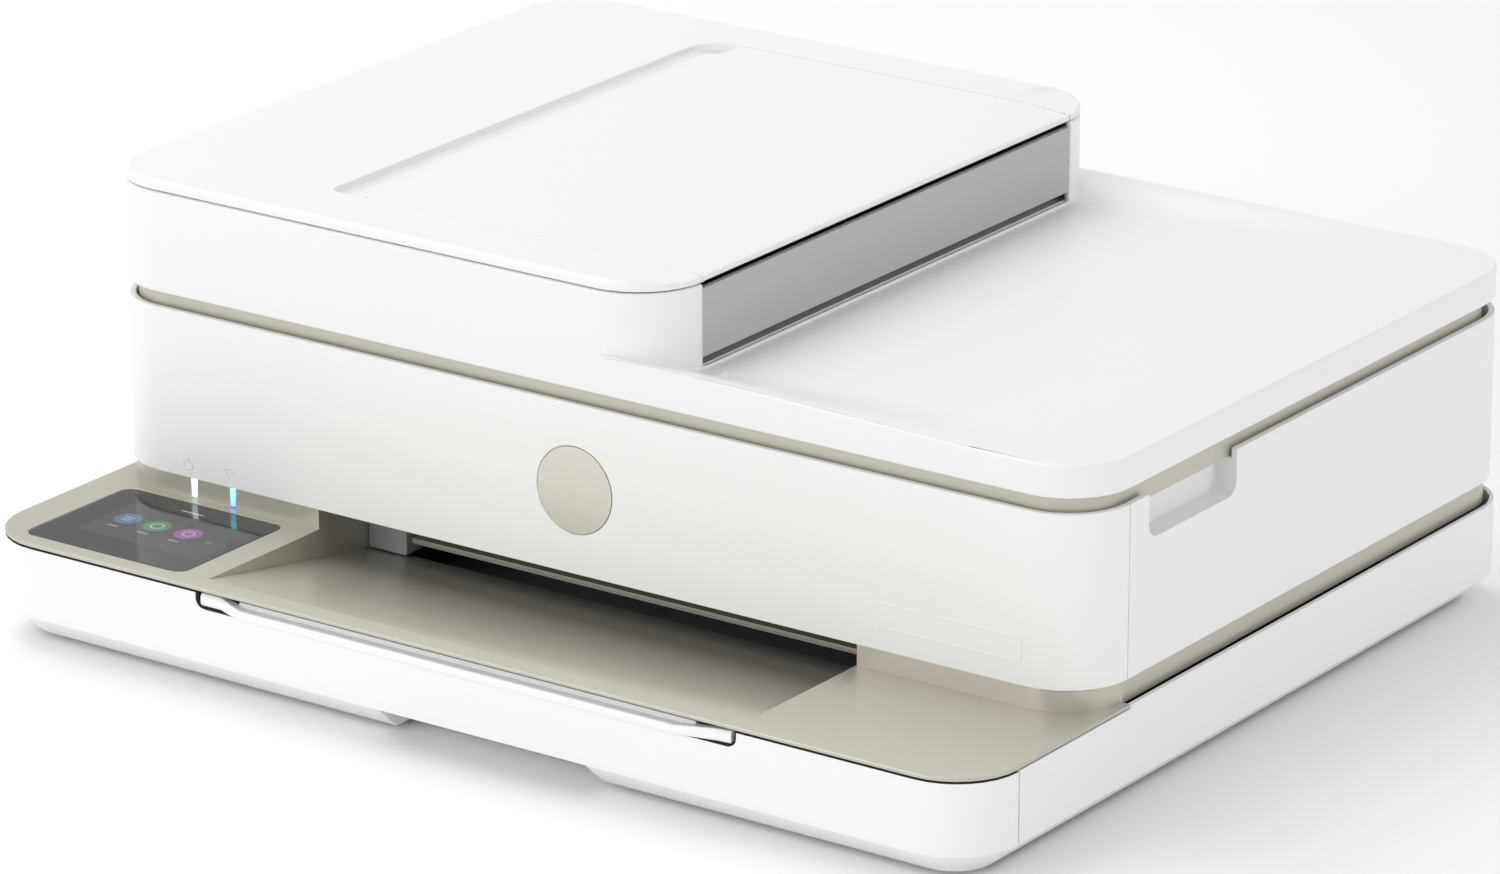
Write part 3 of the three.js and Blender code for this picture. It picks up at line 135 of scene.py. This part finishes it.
darker.operation = "MULTIPLY"
tinted = knots.new("ShaderNodeMix")
tinted.data_type = "RGBA"
tinted.inputs["B"].default_value = (0.2, 0.19, 0.17, 1)
spread = knots.new("ShaderNodeMath")
spread.operation = "MULTIPLY_ADD"
ties.new(grain_place.outputs["Object"], cloud.inputs["Vector"])
ties.new(grain_place.outputs["Object"], pits.inputs["Vector"])
ties.new(grain_in.outputs["Grain Scale"], pits.inputs["Scale"])
ties.new(cloud.outputs["Fac"], patch.inputs["Value"])
ties.new(patch.outputs["Result"], darker.inputs[0])
ties.new(grain_in.outputs["Mottle"], darker.inputs[1])
ties.new(darker.outputs["Value"], tinted.inputs["Factor"])
ties.new(grain_in.outputs["Colour"], tinted.inputs["A"])
ties.new(patch.outputs["Result"], spread.inputs[0])
ties.new(grain_in.outputs["Gloss Spread"], spread.inputs[1])
ties.new(grain_in.outputs["Gloss"], spread.inputs[2])
ties.new(tinted.outputs["Result"], grain_out.inputs["Colour"])
ties.new(spread.outputs["Value"], grain_out.inputs["Roughness"])
ties.new(pits.outputs["Fac"], grain_out.inputs["Height"])


def moulded(
    name, colour, gloss, grain_scale=2200, depth=0.00004, mottle=0.02, metal=0.0
):
    """A plastic or metal with its colour, gloss and fine relief from moulded_grain."""
    material = bpy.data.materials.new(name)
    material.use_nodes = True
    nodes, links = material.node_tree.nodes, material.node_tree.links
    shader = nodes["Principled BSDF"]
    surface = nodes.new("ShaderNodeGroup")
    surface.node_tree = grain
    surface.inputs["Colour"].default_value = (*colour, 1)
    surface.inputs["Mottle"].default_value = mottle
    surface.inputs["Gloss"].default_value = gloss
    surface.inputs["Grain Scale"].default_value = grain_scale
    bump = nodes.new("ShaderNodeBump")
    bump.inputs["Strength"].default_value = 0.35
    bump.inputs["Distance"].default_value = depth
    links.new(surface.outputs["Colour"], shader.inputs["Base Color"])
    links.new(surface.outputs["Roughness"], shader.inputs["Roughness"])
    links.new(surface.outputs["Height"], bump.inputs["Height"])
    links.new(bump.outputs["Normal"], shader.inputs["Normal"])
    shader.inputs["Metallic"].default_value = metal
    shader.inputs["Specular IOR Level"].default_value = 0.45
    return material


def only(piece):
    """Makes one piece the active and only selected object."""
    bpy.ops.object.select_all(action="DESELECT")
    piece.select_set(True)
    bpy.context.view_layer.objects.active = piece


def paint(piece, material):
    """Gives a piece one material in place of any that it had."""
    piece.data.materials.clear()
    piece.data.materials.append(material)


rounded_beyond = radians(32)
creased_beyond = radians(40)


def rounded(piece, width, steps=2):
    """Rounds the sharp edges, then shades flat faces flat and curved ones smooth."""
    only(piece)
    if width:
        soft = piece.modifiers.new("rounded_edges", "BEVEL")
        soft.width = width
        soft.segments = steps
        soft.limit_method = "ANGLE"
        soft.angle_limit = rounded_beyond
        soft.use_clamp_overlap = False
        bpy.ops.object.modifier_apply(modifier=soft.name)
    bpy.ops.object.shade_smooth_by_angle(angle=creased_beyond)
    even = piece.modifiers.new("even_shading", "WEIGHTED_NORMAL")
    even.keep_sharp = True
    bpy.ops.object.modifier_apply(modifier=even.name)


def settle(piece, body, slot, *nodes):
    """Ties a finished piece to its body and hides the nodes it stands for. The slot is not
    used.
    """
    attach(piece, body)
    if nodes:
        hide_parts(*nodes)


def shell(node, body, material, slot, width=0.0004, steps=2, flats=False):
    """A node's own shape as one welded skin, with its edges rounded as a mould leaves them.

    With flats, the facets of each flat face are merged first. That keeps a large panel
    free of creases, but a flat face that runs round an opening is shaded wrongly by it.
    """
    weld_distance, flat_within = 0.00002, radians(0.6)
    piece = bpy.data.objects.new(node + "_moulding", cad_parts[node].data.copy())
    bpy.context.scene.collection.objects.link(piece)
    only(piece)
    bpy.ops.mesh.customdata_custom_splitnormals_clear()
    bpy.ops.object.mode_set(mode="EDIT")
    bpy.ops.mesh.select_all(action="SELECT")
    bpy.ops.mesh.remove_doubles(threshold=weld_distance)
    if flats:
        bpy.ops.mesh.dissolve_limited(angle_limit=flat_within)
    bpy.ops.object.mode_set(mode="OBJECT")
    rounded(piece, width, steps)
    paint(piece, material)
    settle(piece, body, slot, node)
    return piece


white_shell = moulded("white_shell", (0.88, 0.88, 0.88), 0.36)
shell("base_housing", "housing", white_shell, "white_plastic")
for panel_node in ("side_panel_left", "side_panel_right"):
    shell(panel_node, "housing", white_shell, "white_plastic", flats=True)

# ---------------------------------------------------------------------------
# Rear panel: the same white plastic, with the cut-outs for the sockets and a
# block of upright ventilation slots behind the electronics. The grey power
# button slides in a round hole of its own.
# ---------------------------------------------------------------------------
def block(name, low, high):
    """A box between two corners, its place in its mesh."""
    low, high = Vector(low), Vector(high)
    bpy.ops.object.select_all(action="DESELECT")
    bpy.ops.mesh.primitive_cube_add(size=1, location=(low + high) / 2)
    piece = bpy.context.object
    piece.name = name
    piece.scale = high - low
    bpy.ops.object.transform_apply(location=True, rotation=True, scale=True)
    return piece


def one_of(name, pieces):
    """Several pieces as one object."""
    bpy.ops.object.select_all(action="DESELECT")
    for piece in pieces:
        piece.select_set(True)
    bpy.context.view_layer.objects.active = pieces[0]
    bpy.ops.object.join()
    pieces[0].name = name
    return pieces[0]


def cut(piece, cutter):
    """Takes the cutter's shape out of the piece, and the cutter away."""
    only(piece)
    slice_off = piece.modifiers.new("cut", "BOOLEAN")
    slice_off.operation = "DIFFERENCE"
    slice_off.solver = "EXACT"
    slice_off.object = cutter
    bpy.ops.object.modifier_apply(modifier=slice_off.name)
    bpy.data.objects.remove(cutter)


panel_low, panel_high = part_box("rear_panel")
rear_panel = shell("rear_panel", "housing", white_shell, "white_plastic")
vent_count = 16
vent_start, vent_pitch, vent_width = 0.02, 0.006, 0.0026
vent_foot, vent_head = panel_low.z + 0.034, panel_low.z + 0.056
overrun = 0.002
slots = []
for column in range(vent_count):
    slot_x = vent_start + column * vent_pitch
    slots.append(
        block(
            "vent_slot",
            (slot_x, panel_low.y - overrun, vent_foot),
            (slot_x + vent_width, panel_high.y + overrun, vent_head),
        )
    )
cut(rear_panel, one_of("vent_slots", slots))
button_grey = moulded("button_grey", (0.5, 0.51, 0.52), 0.4)
shell("power_button", "power_button", button_grey, "grey_plastic")

# ---------------------------------------------------------------------------
# Base plate with its four feet: black moulded rubber and glass-filled
# plastic, seen only from below.
# ---------------------------------------------------------------------------
foot_rubber = moulded(
    "foot_rubber", (0.035, 0.035, 0.037), 0.75, grain_scale=900, depth=0.0001
)
paint(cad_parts["base_plate"], foot_rubber)

# ---------------------------------------------------------------------------
# Paper drawer: a white wrap-round front on a grey tray, with dark paper
# guides and the sliding output extender, whose lip is hollowed for a finger.
# ---------------------------------------------------------------------------
# Painted shade: a dark grey put on seam faces in place of the shadow inside the gaps round
# the drawer and under the deck.
painted_seam_shade = moulded("painted_seam_shade", (0.07, 0.07, 0.068), 0.7)


def paint_seam_shade(piece, test):
    """Paints the faces that pass the test a dull dark grey, painted shade for a seam that
    light hardly reaches.
    """
    piece.data.materials.append(painted_seam_shade)
    for face in piece.data.polygons:
        if test(face):
            face.material_index = 1


drawer_white = moulded("drawer_white", (0.89, 0.89, 0.89), 0.34)
drawer_front = shell("drawer_front", "drawer", drawer_white, "white_plastic")
drawer_low, drawer_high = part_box("drawer_front")
lip_low, lip_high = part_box("output_extender")
rim_foot = drawer_high.z - 0.0004
notch_left, notch_right = lip_low.x - 0.003, lip_high.x + 0.003
notch_foot, notch_back = lip_low.z - 0.002, drawer_low.y + 0.008


def in_drawer_seam(face):
    """The drawer's top rim under the deck, and the walls of the notch round the lip, which
    get painted shade.
    """
    place, facing = face.center, face.normal
    rim = facing.z > 0.9 and place.z > rim_foot
    beside_lip = notch_left < place.x < notch_right and place.z > notch_foot
    walls = beside_lip and abs(facing.y) < 0.5 and place.y < notch_back
    return rim or walls


# The drawer's seam faces get painted shade.
paint_seam_shade(drawer_front, in_drawer_seam)
shell(
    "output_extender",
    "output_extender",
    drawer_white,
    "white_plastic",
    width=0.0003,
    flats=True,
)
tray_grey = moulded("tray_grey", (0.42, 0.43, 0.44), 0.45, grain_scale=1500)
guide_dark = moulded("guide_dark", (0.05, 0.052, 0.057), 0.5, grain_scale=1500)
paint(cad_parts["paper_tray"], tray_grey)
for guide_node in ("width_guide_left", "width_guide_right", "length_guide"):
    paint(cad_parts[guide_node], guide_dark)

# ---------------------------------------------------------------------------
# Deck with the output bay: one moulding in champagne-coloured plastic with a
# satin, slightly pearly coat, running up behind into the riser. The exit strip
# and the grey post beside the bay are fitted to it.
# ---------------------------------------------------------------------------
champagne = moulded("champagne", (0.56, 0.535, 0.465), 0.30, mottle=0.03, metal=0.45)
deck_cover = shell("deck_cover", "housing", champagne, "beige_plastic", width=0.0003)
# The deck's underside gets painted shade, a dark grey for the shadow in the gap above the
# drawer.
paint_seam_shade(deck_cover, lambda face: face.normal.z < -0.9)
shell("exit_guide", "housing", champagne, "beige_plastic", width=0.0002)
post_grey = moulded("post_grey", (0.46, 0.47, 0.48), 0.45)
shell("bay_side_post", "housing", post_grey, "grey_plastic", width=0.0008, steps=3)

# ---------------------------------------------------------------------------
# Touchscreen: black glass over a lit display, with three round keys, a thin
# line for home, and short plain bars where the keys' names would be.
# ---------------------------------------------------------------------------
def mask_group(name, sizes):
    """A group that turns an object-space place into a soft-edged mask round a centre."""
    group = bpy.data.node_groups.new(name, "ShaderNodeTree")
    for label in ("Centre X", "Centre Y", *sizes):
        group.interface.new_socket(
            name=label, in_out="INPUT", socket_type="NodeSocketFloat"
        )
    group.interface.new_socket(
        name="Mask", in_out="OUTPUT", socket_type="NodeSocketFloat"
    )
    parts, joins = group.nodes, group.links
    entry, leave = parts.new("NodeGroupInput"), parts.new("NodeGroupOutput")
    place = parts.new("ShaderNodeTexCoord")
    split = parts.new("ShaderNodeSeparateXYZ")
    joins.new(place.outputs["Object"], split.inputs["Vector"])
    offsets = []
    for label in ("X", "Y"):
        away = parts.new("ShaderNodeMath")
        away.operation = "SUBTRACT"
        joins.new(split.outputs[label], away.inputs[0])
        joins.new(entry.outputs["Centre " + label], away.inputs[1])
        offsets.append(away)
    return group, parts, joins, entry, leave, offsets


def edge_mask(parts, joins, distance, limit):
    """1 inside the limit and 0 outside, across a fifth of a millimetre."""
    inside = parts.new("ShaderNodeMath")
    inside.operation = "SUBTRACT"
    joins.new(limit, inside.inputs[0])
    joins.new(distance, inside.inputs[1])
    ramp = parts.new("ShaderNodeMapRange")
    ramp.inputs["From Min"].default_value = -0.0001
    ramp.inputs["From Max"].default_value = 0.0001
    joins.new(inside.outputs["Value"], ramp.inputs["Value"])
    return ramp.outputs["Result"]


disc_mask, parts, joins, entry, leave, offsets = mask_group("disc_mask", ("Radius",))
squares = []
for away in offsets:
    square = parts.new("ShaderNodeMath")
    square.operation = "MULTIPLY"
    joins.new(away.outputs["Value"], square.inputs[0])
    joins.new(away.outputs["Value"], square.inputs[1])
    squares.append(square)
total = parts.new("ShaderNodeMath")
joins.new(squares[0].outputs["Value"], total.inputs[0])
joins.new(squares[1].outputs["Value"], total.inputs[1])
root = parts.new("ShaderNodeMath")
root.operation = "SQRT"
joins.new(total.outputs["Value"], root.inputs[0])
in_disc = edge_mask(parts, joins, root.outputs["Value"], entry.outputs["Radius"])
joins.new(in_disc, leave.inputs["Mask"])

bar_sizes = ("Half Width", "Half Depth")
bar_mask, parts, joins, entry, leave, offsets = mask_group("bar_mask", bar_sizes)
sides = []
for away, limit in zip(offsets, bar_sizes):
    size_of = parts.new("ShaderNodeMath")
    size_of.operation = "ABSOLUTE"
    joins.new(away.outputs["Value"], size_of.inputs[0])
    sides.append(
        edge_mask(parts, joins, size_of.outputs["Value"], entry.outputs[limit])
    )
both = parts.new("ShaderNodeMath")
both.operation = "MULTIPLY"
joins.new(sides[0], both.inputs[0])
joins.new(sides[1], both.inputs[1])
joins.new(both.outputs["Value"], leave.inputs["Mask"])

display = bpy.data.materials.new("lit_display")
display.use_nodes = True
display_nodes, display_links = display.node_tree.nodes, display.node_tree.links
display_shader = display_nodes["Principled BSDF"]
display_shader.inputs["Base Color"].default_value = (0.012, 0.013, 0.014, 1)
display_shader.inputs["Specular IOR Level"].default_value = 0.6
display_shader.inputs["Emission Strength"].default_value = 1.0
smudge = display_nodes.new("ShaderNodeTexNoise")
smudge.inputs["Scale"].default_value = 60
smudged = display_nodes.new("ShaderNodeMapRange")
smudged.inputs["To Min"].default_value = 0.04
smudged.inputs["To Max"].default_value = 0.10
display_place = display_nodes.new("ShaderNodeTexCoord")
display_links.new(display_place.outputs["Object"], smudge.inputs["Vector"])
display_links.new(smudge.outputs["Fac"], smudged.inputs["Value"])
display_links.new(smudged.outputs["Result"], display_shader.inputs["Roughness"])

glass_low, glass_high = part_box("touchscreen_glass")
unlit = (0.010, 0.0105, 0.012)
page_grey, name_grey = (0.030, 0.031, 0.034), (0.24, 0.24, 0.25)
key_blue, key_green = (0.075, 0.12, 0.21), (0.035, 0.17, 0.06)
key_violet = (0.22, 0.07, 0.24)
page_x, page_y = glass_low.x + 0.0408, glass_low.y + 0.0310
key_xs = (glass_low.x + 0.0212, glass_low.x + 0.0349, glass_low.x + 0.0492)
key_y, key_radius = glass_low.y + 0.0329, 0.0053
home_x, home_y = glass_low.x + 0.0366, glass_high.y - 0.0082
tab_x, tab_y = glass_low.x + 0.0612, key_y - 0.003
name_y = key_y - 0.0086
ring_x = key_xs[2] + 0.0002
line_gap = 0.0016
shown = [
    ("bar", page_x, page_y, (0.0285, 0.0165), page_grey),
    ("disc", key_xs[0], key_y, (key_radius,), key_blue),
    ("disc", key_xs[1], key_y, (key_radius,), key_green),
    ("disc", key_xs[2], key_y, (key_radius,), key_violet),
    ("disc", key_xs[1], key_y, (0.0028,), (0.30, 0.42, 0.32)),
    ("disc", key_xs[1], key_y, (0.0021,), key_green),
    ("disc", ring_x, key_y, (0.0026,), (0.46, 0.30, 0.48)),
    ("disc", ring_x, key_y, (0.0019,), key_violet),
    ("bar", home_x, home_y, (0.0051, 0.00035), (0.40, 0.42, 0.45)),
    ("bar", tab_x, tab_y, (0.0016, 0.0012), (0.10, 0.10, 0.11)),
]
for row in (-line_gap, 0.0, line_gap):
    shown.append(("bar", key_xs[0], key_y + row, (0.0022, 0.0003), (0.30, 0.36, 0.46)))
for name_x in key_xs:
    shown.append(("bar", name_x, name_y, (0.0024, 0.00045), name_grey))
glow = None
for shape, centre_x, centre_y, sizes, colour in shown:
    spot = display_nodes.new("ShaderNodeGroup")
    spot.node_tree = disc_mask if shape == "disc" else bar_mask
    for socket, value in zip(spot.inputs, (centre_x, centre_y, *sizes)):
        socket.default_value = value
    blend = display_nodes.new("ShaderNodeMix")
    blend.data_type = "RGBA"
    blend.inputs["B"].default_value = (*colour, 1)
    display_links.new(spot.outputs["Mask"], blend.inputs["Factor"])
    if glow:
        display_links.new(glow, blend.inputs["A"])
    else:
        blend.inputs["A"].default_value = (*unlit, 1)
    glow = blend.outputs["Result"]
display_links.new(glow, display_shader.inputs["Emission Color"])
shell("touchscreen_glass", "housing", display, "black_glass", width=0.0002)

# ---------------------------------------------------------------------------
# Light bars: one clear light pipe behind the riser, white where it marks the
# power key and blue-green at the wireless mark, brightest at the top.
# ---------------------------------------------------------------------------
bar_low, bar_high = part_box("status_lights")
light_pipe = bpy.data.materials.new("light_pipe")
light_pipe.use_nodes = True
pipe_nodes, pipe_links = light_pipe.node_tree.nodes, light_pipe.node_tree.links
pipe_shader = pipe_nodes["Principled BSDF"]
pipe_shader.inputs["Base Color"].default_value = (0.7, 0.8, 0.82, 1)
pipe_shader.inputs["Roughness"].default_value = 0.2
pipe_shader.inputs["Emission Strength"].default_value = 1.6
pipe_place = pipe_nodes.new("ShaderNodeTexCoord")
pipe_split = pipe_nodes.new("ShaderNodeSeparateXYZ")
pipe_side = pipe_nodes.new("ShaderNodeMath")
pipe_side.operation = "GREATER_THAN"
pipe_side.inputs[1].default_value = (bar_low.x + bar_high.x) / 2
pipe_height = pipe_nodes.new("ShaderNodeMapRange")
pipe_height.inputs["From Min"].default_value = bar_low.z
pipe_height.inputs["From Max"].default_value = bar_high.z
pipe_links.new(pipe_place.outputs["Object"], pipe_split.inputs["Vector"])
pipe_links.new(pipe_split.outputs["X"], pipe_side.inputs[0])
pipe_links.new(pipe_split.outputs["Z"], pipe_height.inputs["Value"])
power_white = ((0.35, 0.38, 0.42), (0.9, 0.95, 1.0))
wireless_blue = ((0.0, 0.08, 0.60), (0.10, 0.78, 0.85))
tints = []
for foot_tint, head_tint in (power_white, wireless_blue):
    tint = pipe_nodes.new("ShaderNodeMix")
    tint.data_type = "RGBA"
    tint.inputs["A"].default_value = (*foot_tint, 1)
    tint.inputs["B"].default_value = (*head_tint, 1)
    pipe_links.new(pipe_height.outputs["Result"], tint.inputs["Factor"])
    tints.append(tint.outputs["Result"])
pipe_tint = pipe_nodes.new("ShaderNodeMix")
pipe_tint.data_type = "RGBA"
pipe_links.new(pipe_side.outputs["Value"], pipe_tint.inputs["Factor"])
pipe_links.new(tints[0], pipe_tint.inputs["A"])
pipe_links.new(tints[1], pipe_tint.inputs["B"])
pipe_links.new(pipe_tint.outputs["Result"], pipe_shader.inputs["Emission Color"])
shell("status_lights", "housing", light_pipe, "light_pipe", width=0.0003)

# ---------------------------------------------------------------------------
# Front fascia: warm white plastic, one piece round both front corners. It
# carries small raised marks over the light bars, painted grey as shade, and a raised blank
# label.
# ---------------------------------------------------------------------------
fascia_white = moulded("fascia_white", (0.90, 0.897, 0.885), 0.33)
fascia_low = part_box("front_fascia")[0]
fascia_front, fascia_foot = fascia_low.y, fascia_low.z
shell("front_fascia", "housing", fascia_white, "white_plastic")
# The marks are white like the fascia. Their grey is painted shade, standing in for the shadow
# along their raised edges.
mark_painted_shade = moulded("mark_painted_shade", (0.72, 0.72, 0.72), 0.35)


def choose(piece, kind, test):
    """Enters edit mode with just the edges or faces that pass the test selected."""
    only(piece)
    bpy.ops.object.mode_set(mode="EDIT")
    bpy.ops.mesh.select_mode(type=kind)
    bpy.ops.mesh.select_all(action="DESELECT")
    bpy.ops.object.mode_set(mode="OBJECT")
    elements = piece.data.edges if kind == "EDGE" else piece.data.polygons
    for element in elements:
        element.select = test(element)
    bpy.ops.object.mode_set(mode="EDIT")


mark_line = 0.00022
mark_rise = 0.0002


def ring_mark(name, x, z, radius, opening):
    """A thin ring on the fascia, kept at the angles from straight up that opening accepts."""
    bpy.ops.object.select_all(action="DESELECT")
    bpy.ops.mesh.primitive_torus_add(
        location=(x, fascia_front, z),
        rotation=(radians(90), 0, 0),
        major_radius=radius,
        minor_radius=mark_line,
        major_segments=40,
        minor_segments=8,
    )
    ring = bpy.context.object
    ring.name = name
    bpy.ops.object.transform_apply(location=True, rotation=True, scale=True)

    def cut_away(face):
        return not opening(abs(atan2(face.center.x - x, face.center.z - z)))

    choose(ring, "FACE", cut_away)
    bpy.ops.mesh.delete(type="FACE")
    bpy.ops.mesh.select_all(action="SELECT")
    bpy.ops.mesh.select_mode(type="EDGE")
    bpy.ops.mesh.select_non_manifold()
    bpy.ops.mesh.fill_holes(sides=0)
    bpy.ops.object.mode_set(mode="OBJECT")
    return ring


def round_along(piece, axis, radius, steps):
    """Rounds the edges that run along one axis."""
    points = piece.data.vertices

    def runs_along(edge):
        span = points[edge.vertices[0]].co - points[edge.vertices[1]].co
        return abs(span[axis]) > 0.999 * span.length

    choose(piece, "EDGE", runs_along)
    bpy.ops.mesh.bevel(offset=radius, segments=steps, affect="EDGES")
    bpy.ops.object.mode_set(mode="OBJECT")


power_x, power_z, power_radius = bar_low.x - 0.0005, fascia_foot + 0.0052, 0.0021
stem_half, stem_gap = 0.0002, radians(28)
stem_foot, stem_head = fascia_foot + 0.0058, fascia_foot + 0.0080
power_ring = ring_mark("power_mark", power_x, power_z, power_radius, lambda a: a > stem_gap)
power_stem = block(
    "power_stem",
    (power_x - stem_half, fascia_front - mark_rise, stem_foot),
    (power_x + stem_half, fascia_front + mark_rise, stem_head),
)
power_mark = one_of("power_mark", [power_ring, power_stem])
wireless_x, wave_z = bar_high.x - 0.0018, fascia_foot + 0.0036
wave_reaches, wave_spread = (0.0012, 0.0024, 0.0036), radians(46)
dot_half, dot_foot, dot_head = 0.0003, fascia_foot + 0.0034, fascia_foot + 0.0040
waves = [
    ring_mark("wave", wireless_x, wave_z, reach, lambda a: a < wave_spread)
    for reach in wave_reaches
]
dot = block(
    "wave_dot",
    (wireless_x - dot_half, fascia_front - mark_rise, dot_foot),
    (wireless_x + dot_half, fascia_front + mark_rise, dot_head),
)
wireless_mark = one_of("wireless_mark", [*waves, dot])
# The marks get the grey of painted shade.
for mark in (power_mark, wireless_mark):
    rounded(mark, 0)
    paint(mark, mark_painted_shade)
    settle(mark, "housing", "white_plastic")

label_left, label_right = 0.1262, 0.1875
label_foot, label_head = fascia_foot + 0.0087, fascia_foot + 0.0173
label_rise, label_root = 0.00035, 0.0005
label_corner, label_border, label_dish = 0.0022, 0.00035, 0.00025
label = block(
    "blank_label",
    (label_left, fascia_front - label_rise, label_foot),
    (label_right, fascia_front + label_root, label_head),
)
round_along(label, axis=1, radius=label_corner, steps=8)
choose(label, "FACE", lambda face: face.normal.y < -0.9)
bpy.ops.mesh.inset(thickness=label_border)
bpy.ops.transform.translate(value=(0, label_dish, 0))
bpy.ops.object.mode_set(mode="OBJECT")
rounded(label, 0)
paint(label, fascia_white)
settle(label, "housing", "white_plastic")

# ---------------------------------------------------------------------------
# Round badge: a plain disc of champagne-coloured metal foil, brushed in
# rings, let into the middle of the fascia.
# ---------------------------------------------------------------------------
badge_foil = moulded(
    "badge_foil", (0.70, 0.675, 0.615), 0.26, grain_scale=900, depth=0.00002, metal=0.7
)
shell("badge_disc", "housing", badge_foil, "badge_plastic", width=0.0002)

# ---------------------------------------------------------------------------
# Lower band and engine floor, and the print engine behind the fascia: zinc
# plated steel sheet and rods, black plastic, rubber tyres, grey gears.
# ---------------------------------------------------------------------------
shell("mid_frame", "housing", champagne, "beige_plastic", width=0)
zinc = moulded(
    "zinc", (0.60, 0.61, 0.62), 0.28, grain_scale=700, depth=0.00003, metal=1.0
)
engine_black = moulded("engine_black", (0.028, 0.029, 0.032), 0.5, grain_scale=1200)
tyre_rubber = moulded(
    "tyre_rubber", (0.045, 0.045, 0.047), 0.7, grain_scale=1000, depth=0.0001
)
gear_grey = moulded("gear_grey", (0.55, 0.56, 0.56), 0.38)
board_green = moulded(
    "board_green", (0.03, 0.16, 0.07), 0.3, grain_scale=500, depth=0.00005
)
engine = {
    zinc: (
        "chassis_frame",
        "guide_rod",
        "feed_motor",
        "carriage_motor",
        "motor_pinion",
        "usb_port",
    ),
    engine_black: (
        "platen",
        "service_station",
        "print_carriage",
        "pick_arm",
        "turn_guide",
        "power_supply",
        "power_inlet",
    ),
    tyre_rubber: ("feed_roller", "exit_roller", "pick_roller", "carriage_belt"),
    gear_grey: ("idler_gear", "motor_pulley", "tension_pulley"),
    board_green: ("main_board",),
}
for finish, engine_nodes in engine.items():
    for engine_node in engine_nodes:
        paint(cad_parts[engine_node], finish)
cartridge_black = moulded("cartridge_black", (0.04, 0.04, 0.045), 0.32)
cartridge_colour = moulded("cartridge_colour", (0.07, 0.09, 0.16), 0.32)
shell("cartridge_black", "carriage", cartridge_black, "dark_plastic", width=0.0008)
shell("cartridge_colour", "carriage", cartridge_colour, "dark_plastic", width=0.0008)

# ---------------------------------------------------------------------------
# Scanner unit: the champagne tub whose edge shows as the upper band, its two
# panes, the rod and the scan bar, and the steel hinges behind.
# ---------------------------------------------------------------------------
shell("scanner_base", "scanner_unit", champagne, "beige_plastic", width=0)
paint(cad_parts["scanner_hinges"], zinc)
paint(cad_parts["scan_rod"], zinc)
paint(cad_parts["scan_bar"], engine_black)
pane = bpy.data.materials.new("scanner_pane")
pane.use_nodes = True
pane_nodes, pane_links = pane.node_tree.nodes, pane.node_tree.links
pane_shader = pane_nodes["Principled BSDF"]
pane_shader.inputs["Base Color"].default_value = (0.86, 0.93, 0.92, 1)
pane_shader.inputs["Transmission Weight"].default_value = 1.0
pane_shader.inputs["IOR"].default_value = 1.5
wipe = pane_nodes.new("ShaderNodeTexNoise")
wipe.inputs["Scale"].default_value = 25
wiped = pane_nodes.new("ShaderNodeMapRange")
wiped.inputs["To Min"].default_value = 0.01
wiped.inputs["To Max"].default_value = 0.05
pane_place = pane_nodes.new("ShaderNodeTexCoord")
pane_links.new(pane_place.outputs["Object"], wipe.inputs["Vector"])
pane_links.new(wipe.outputs["Fac"], wiped.inputs["Value"])
pane_links.new(wiped.outputs["Result"], pane_shader.inputs["Roughness"])
shell("scanner_glass", "scanner_unit", pane, "clear_glass", width=0.0003)
shell("feeder_scan_glass", "scanner_unit", pane, "clear_glass", width=0.0003)

# ---------------------------------------------------------------------------
# Lid: one large white moulding with the feeder's walls, its top dished to
# catch the pages, and a white backing pad under it.
# ---------------------------------------------------------------------------
lid_white = moulded("lid_white", (0.89, 0.89, 0.89), 0.34)
shell("lid_panel", "lid", lid_white, "white_plastic", width=0.0009, steps=3, flats=True)
pad_white = moulded(
    "pad_white", (0.86, 0.86, 0.86), 0.5, grain_scale=600, depth=0.00008
)
shell("lid_pad", "lid", pad_white, "pad_white", width=0.0012, steps=3)

# ---------------------------------------------------------------------------
# Document feeder: the cap with its finger trench, the flap that opens into
# the input tray, the grey end wall, and the guides and rollers below.
# ---------------------------------------------------------------------------
for flap_node in ("feeder_cover", "feeder_input_tray"):
    shell(flap_node, flap_node, lid_white, "white_plastic", width=0.0003, flats=True)
wall_grey = moulded("wall_grey", (0.46, 0.47, 0.475), 0.24, mottle=0.01)
shell("feeder_end_wall", "lid", wall_grey, "grey_plastic", width=0.0003)
paint(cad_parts["feeder_frame"], engine_black)
for guide_node in ("feeder_guide_front", "feeder_guide_rear"):
    shell(guide_node, guide_node, gear_grey, "grey_plastic")
for roller_node in ("feeder_drive_roller", "feeder_pick_roller"):
    paint(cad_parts[roller_node], tyre_rubber)
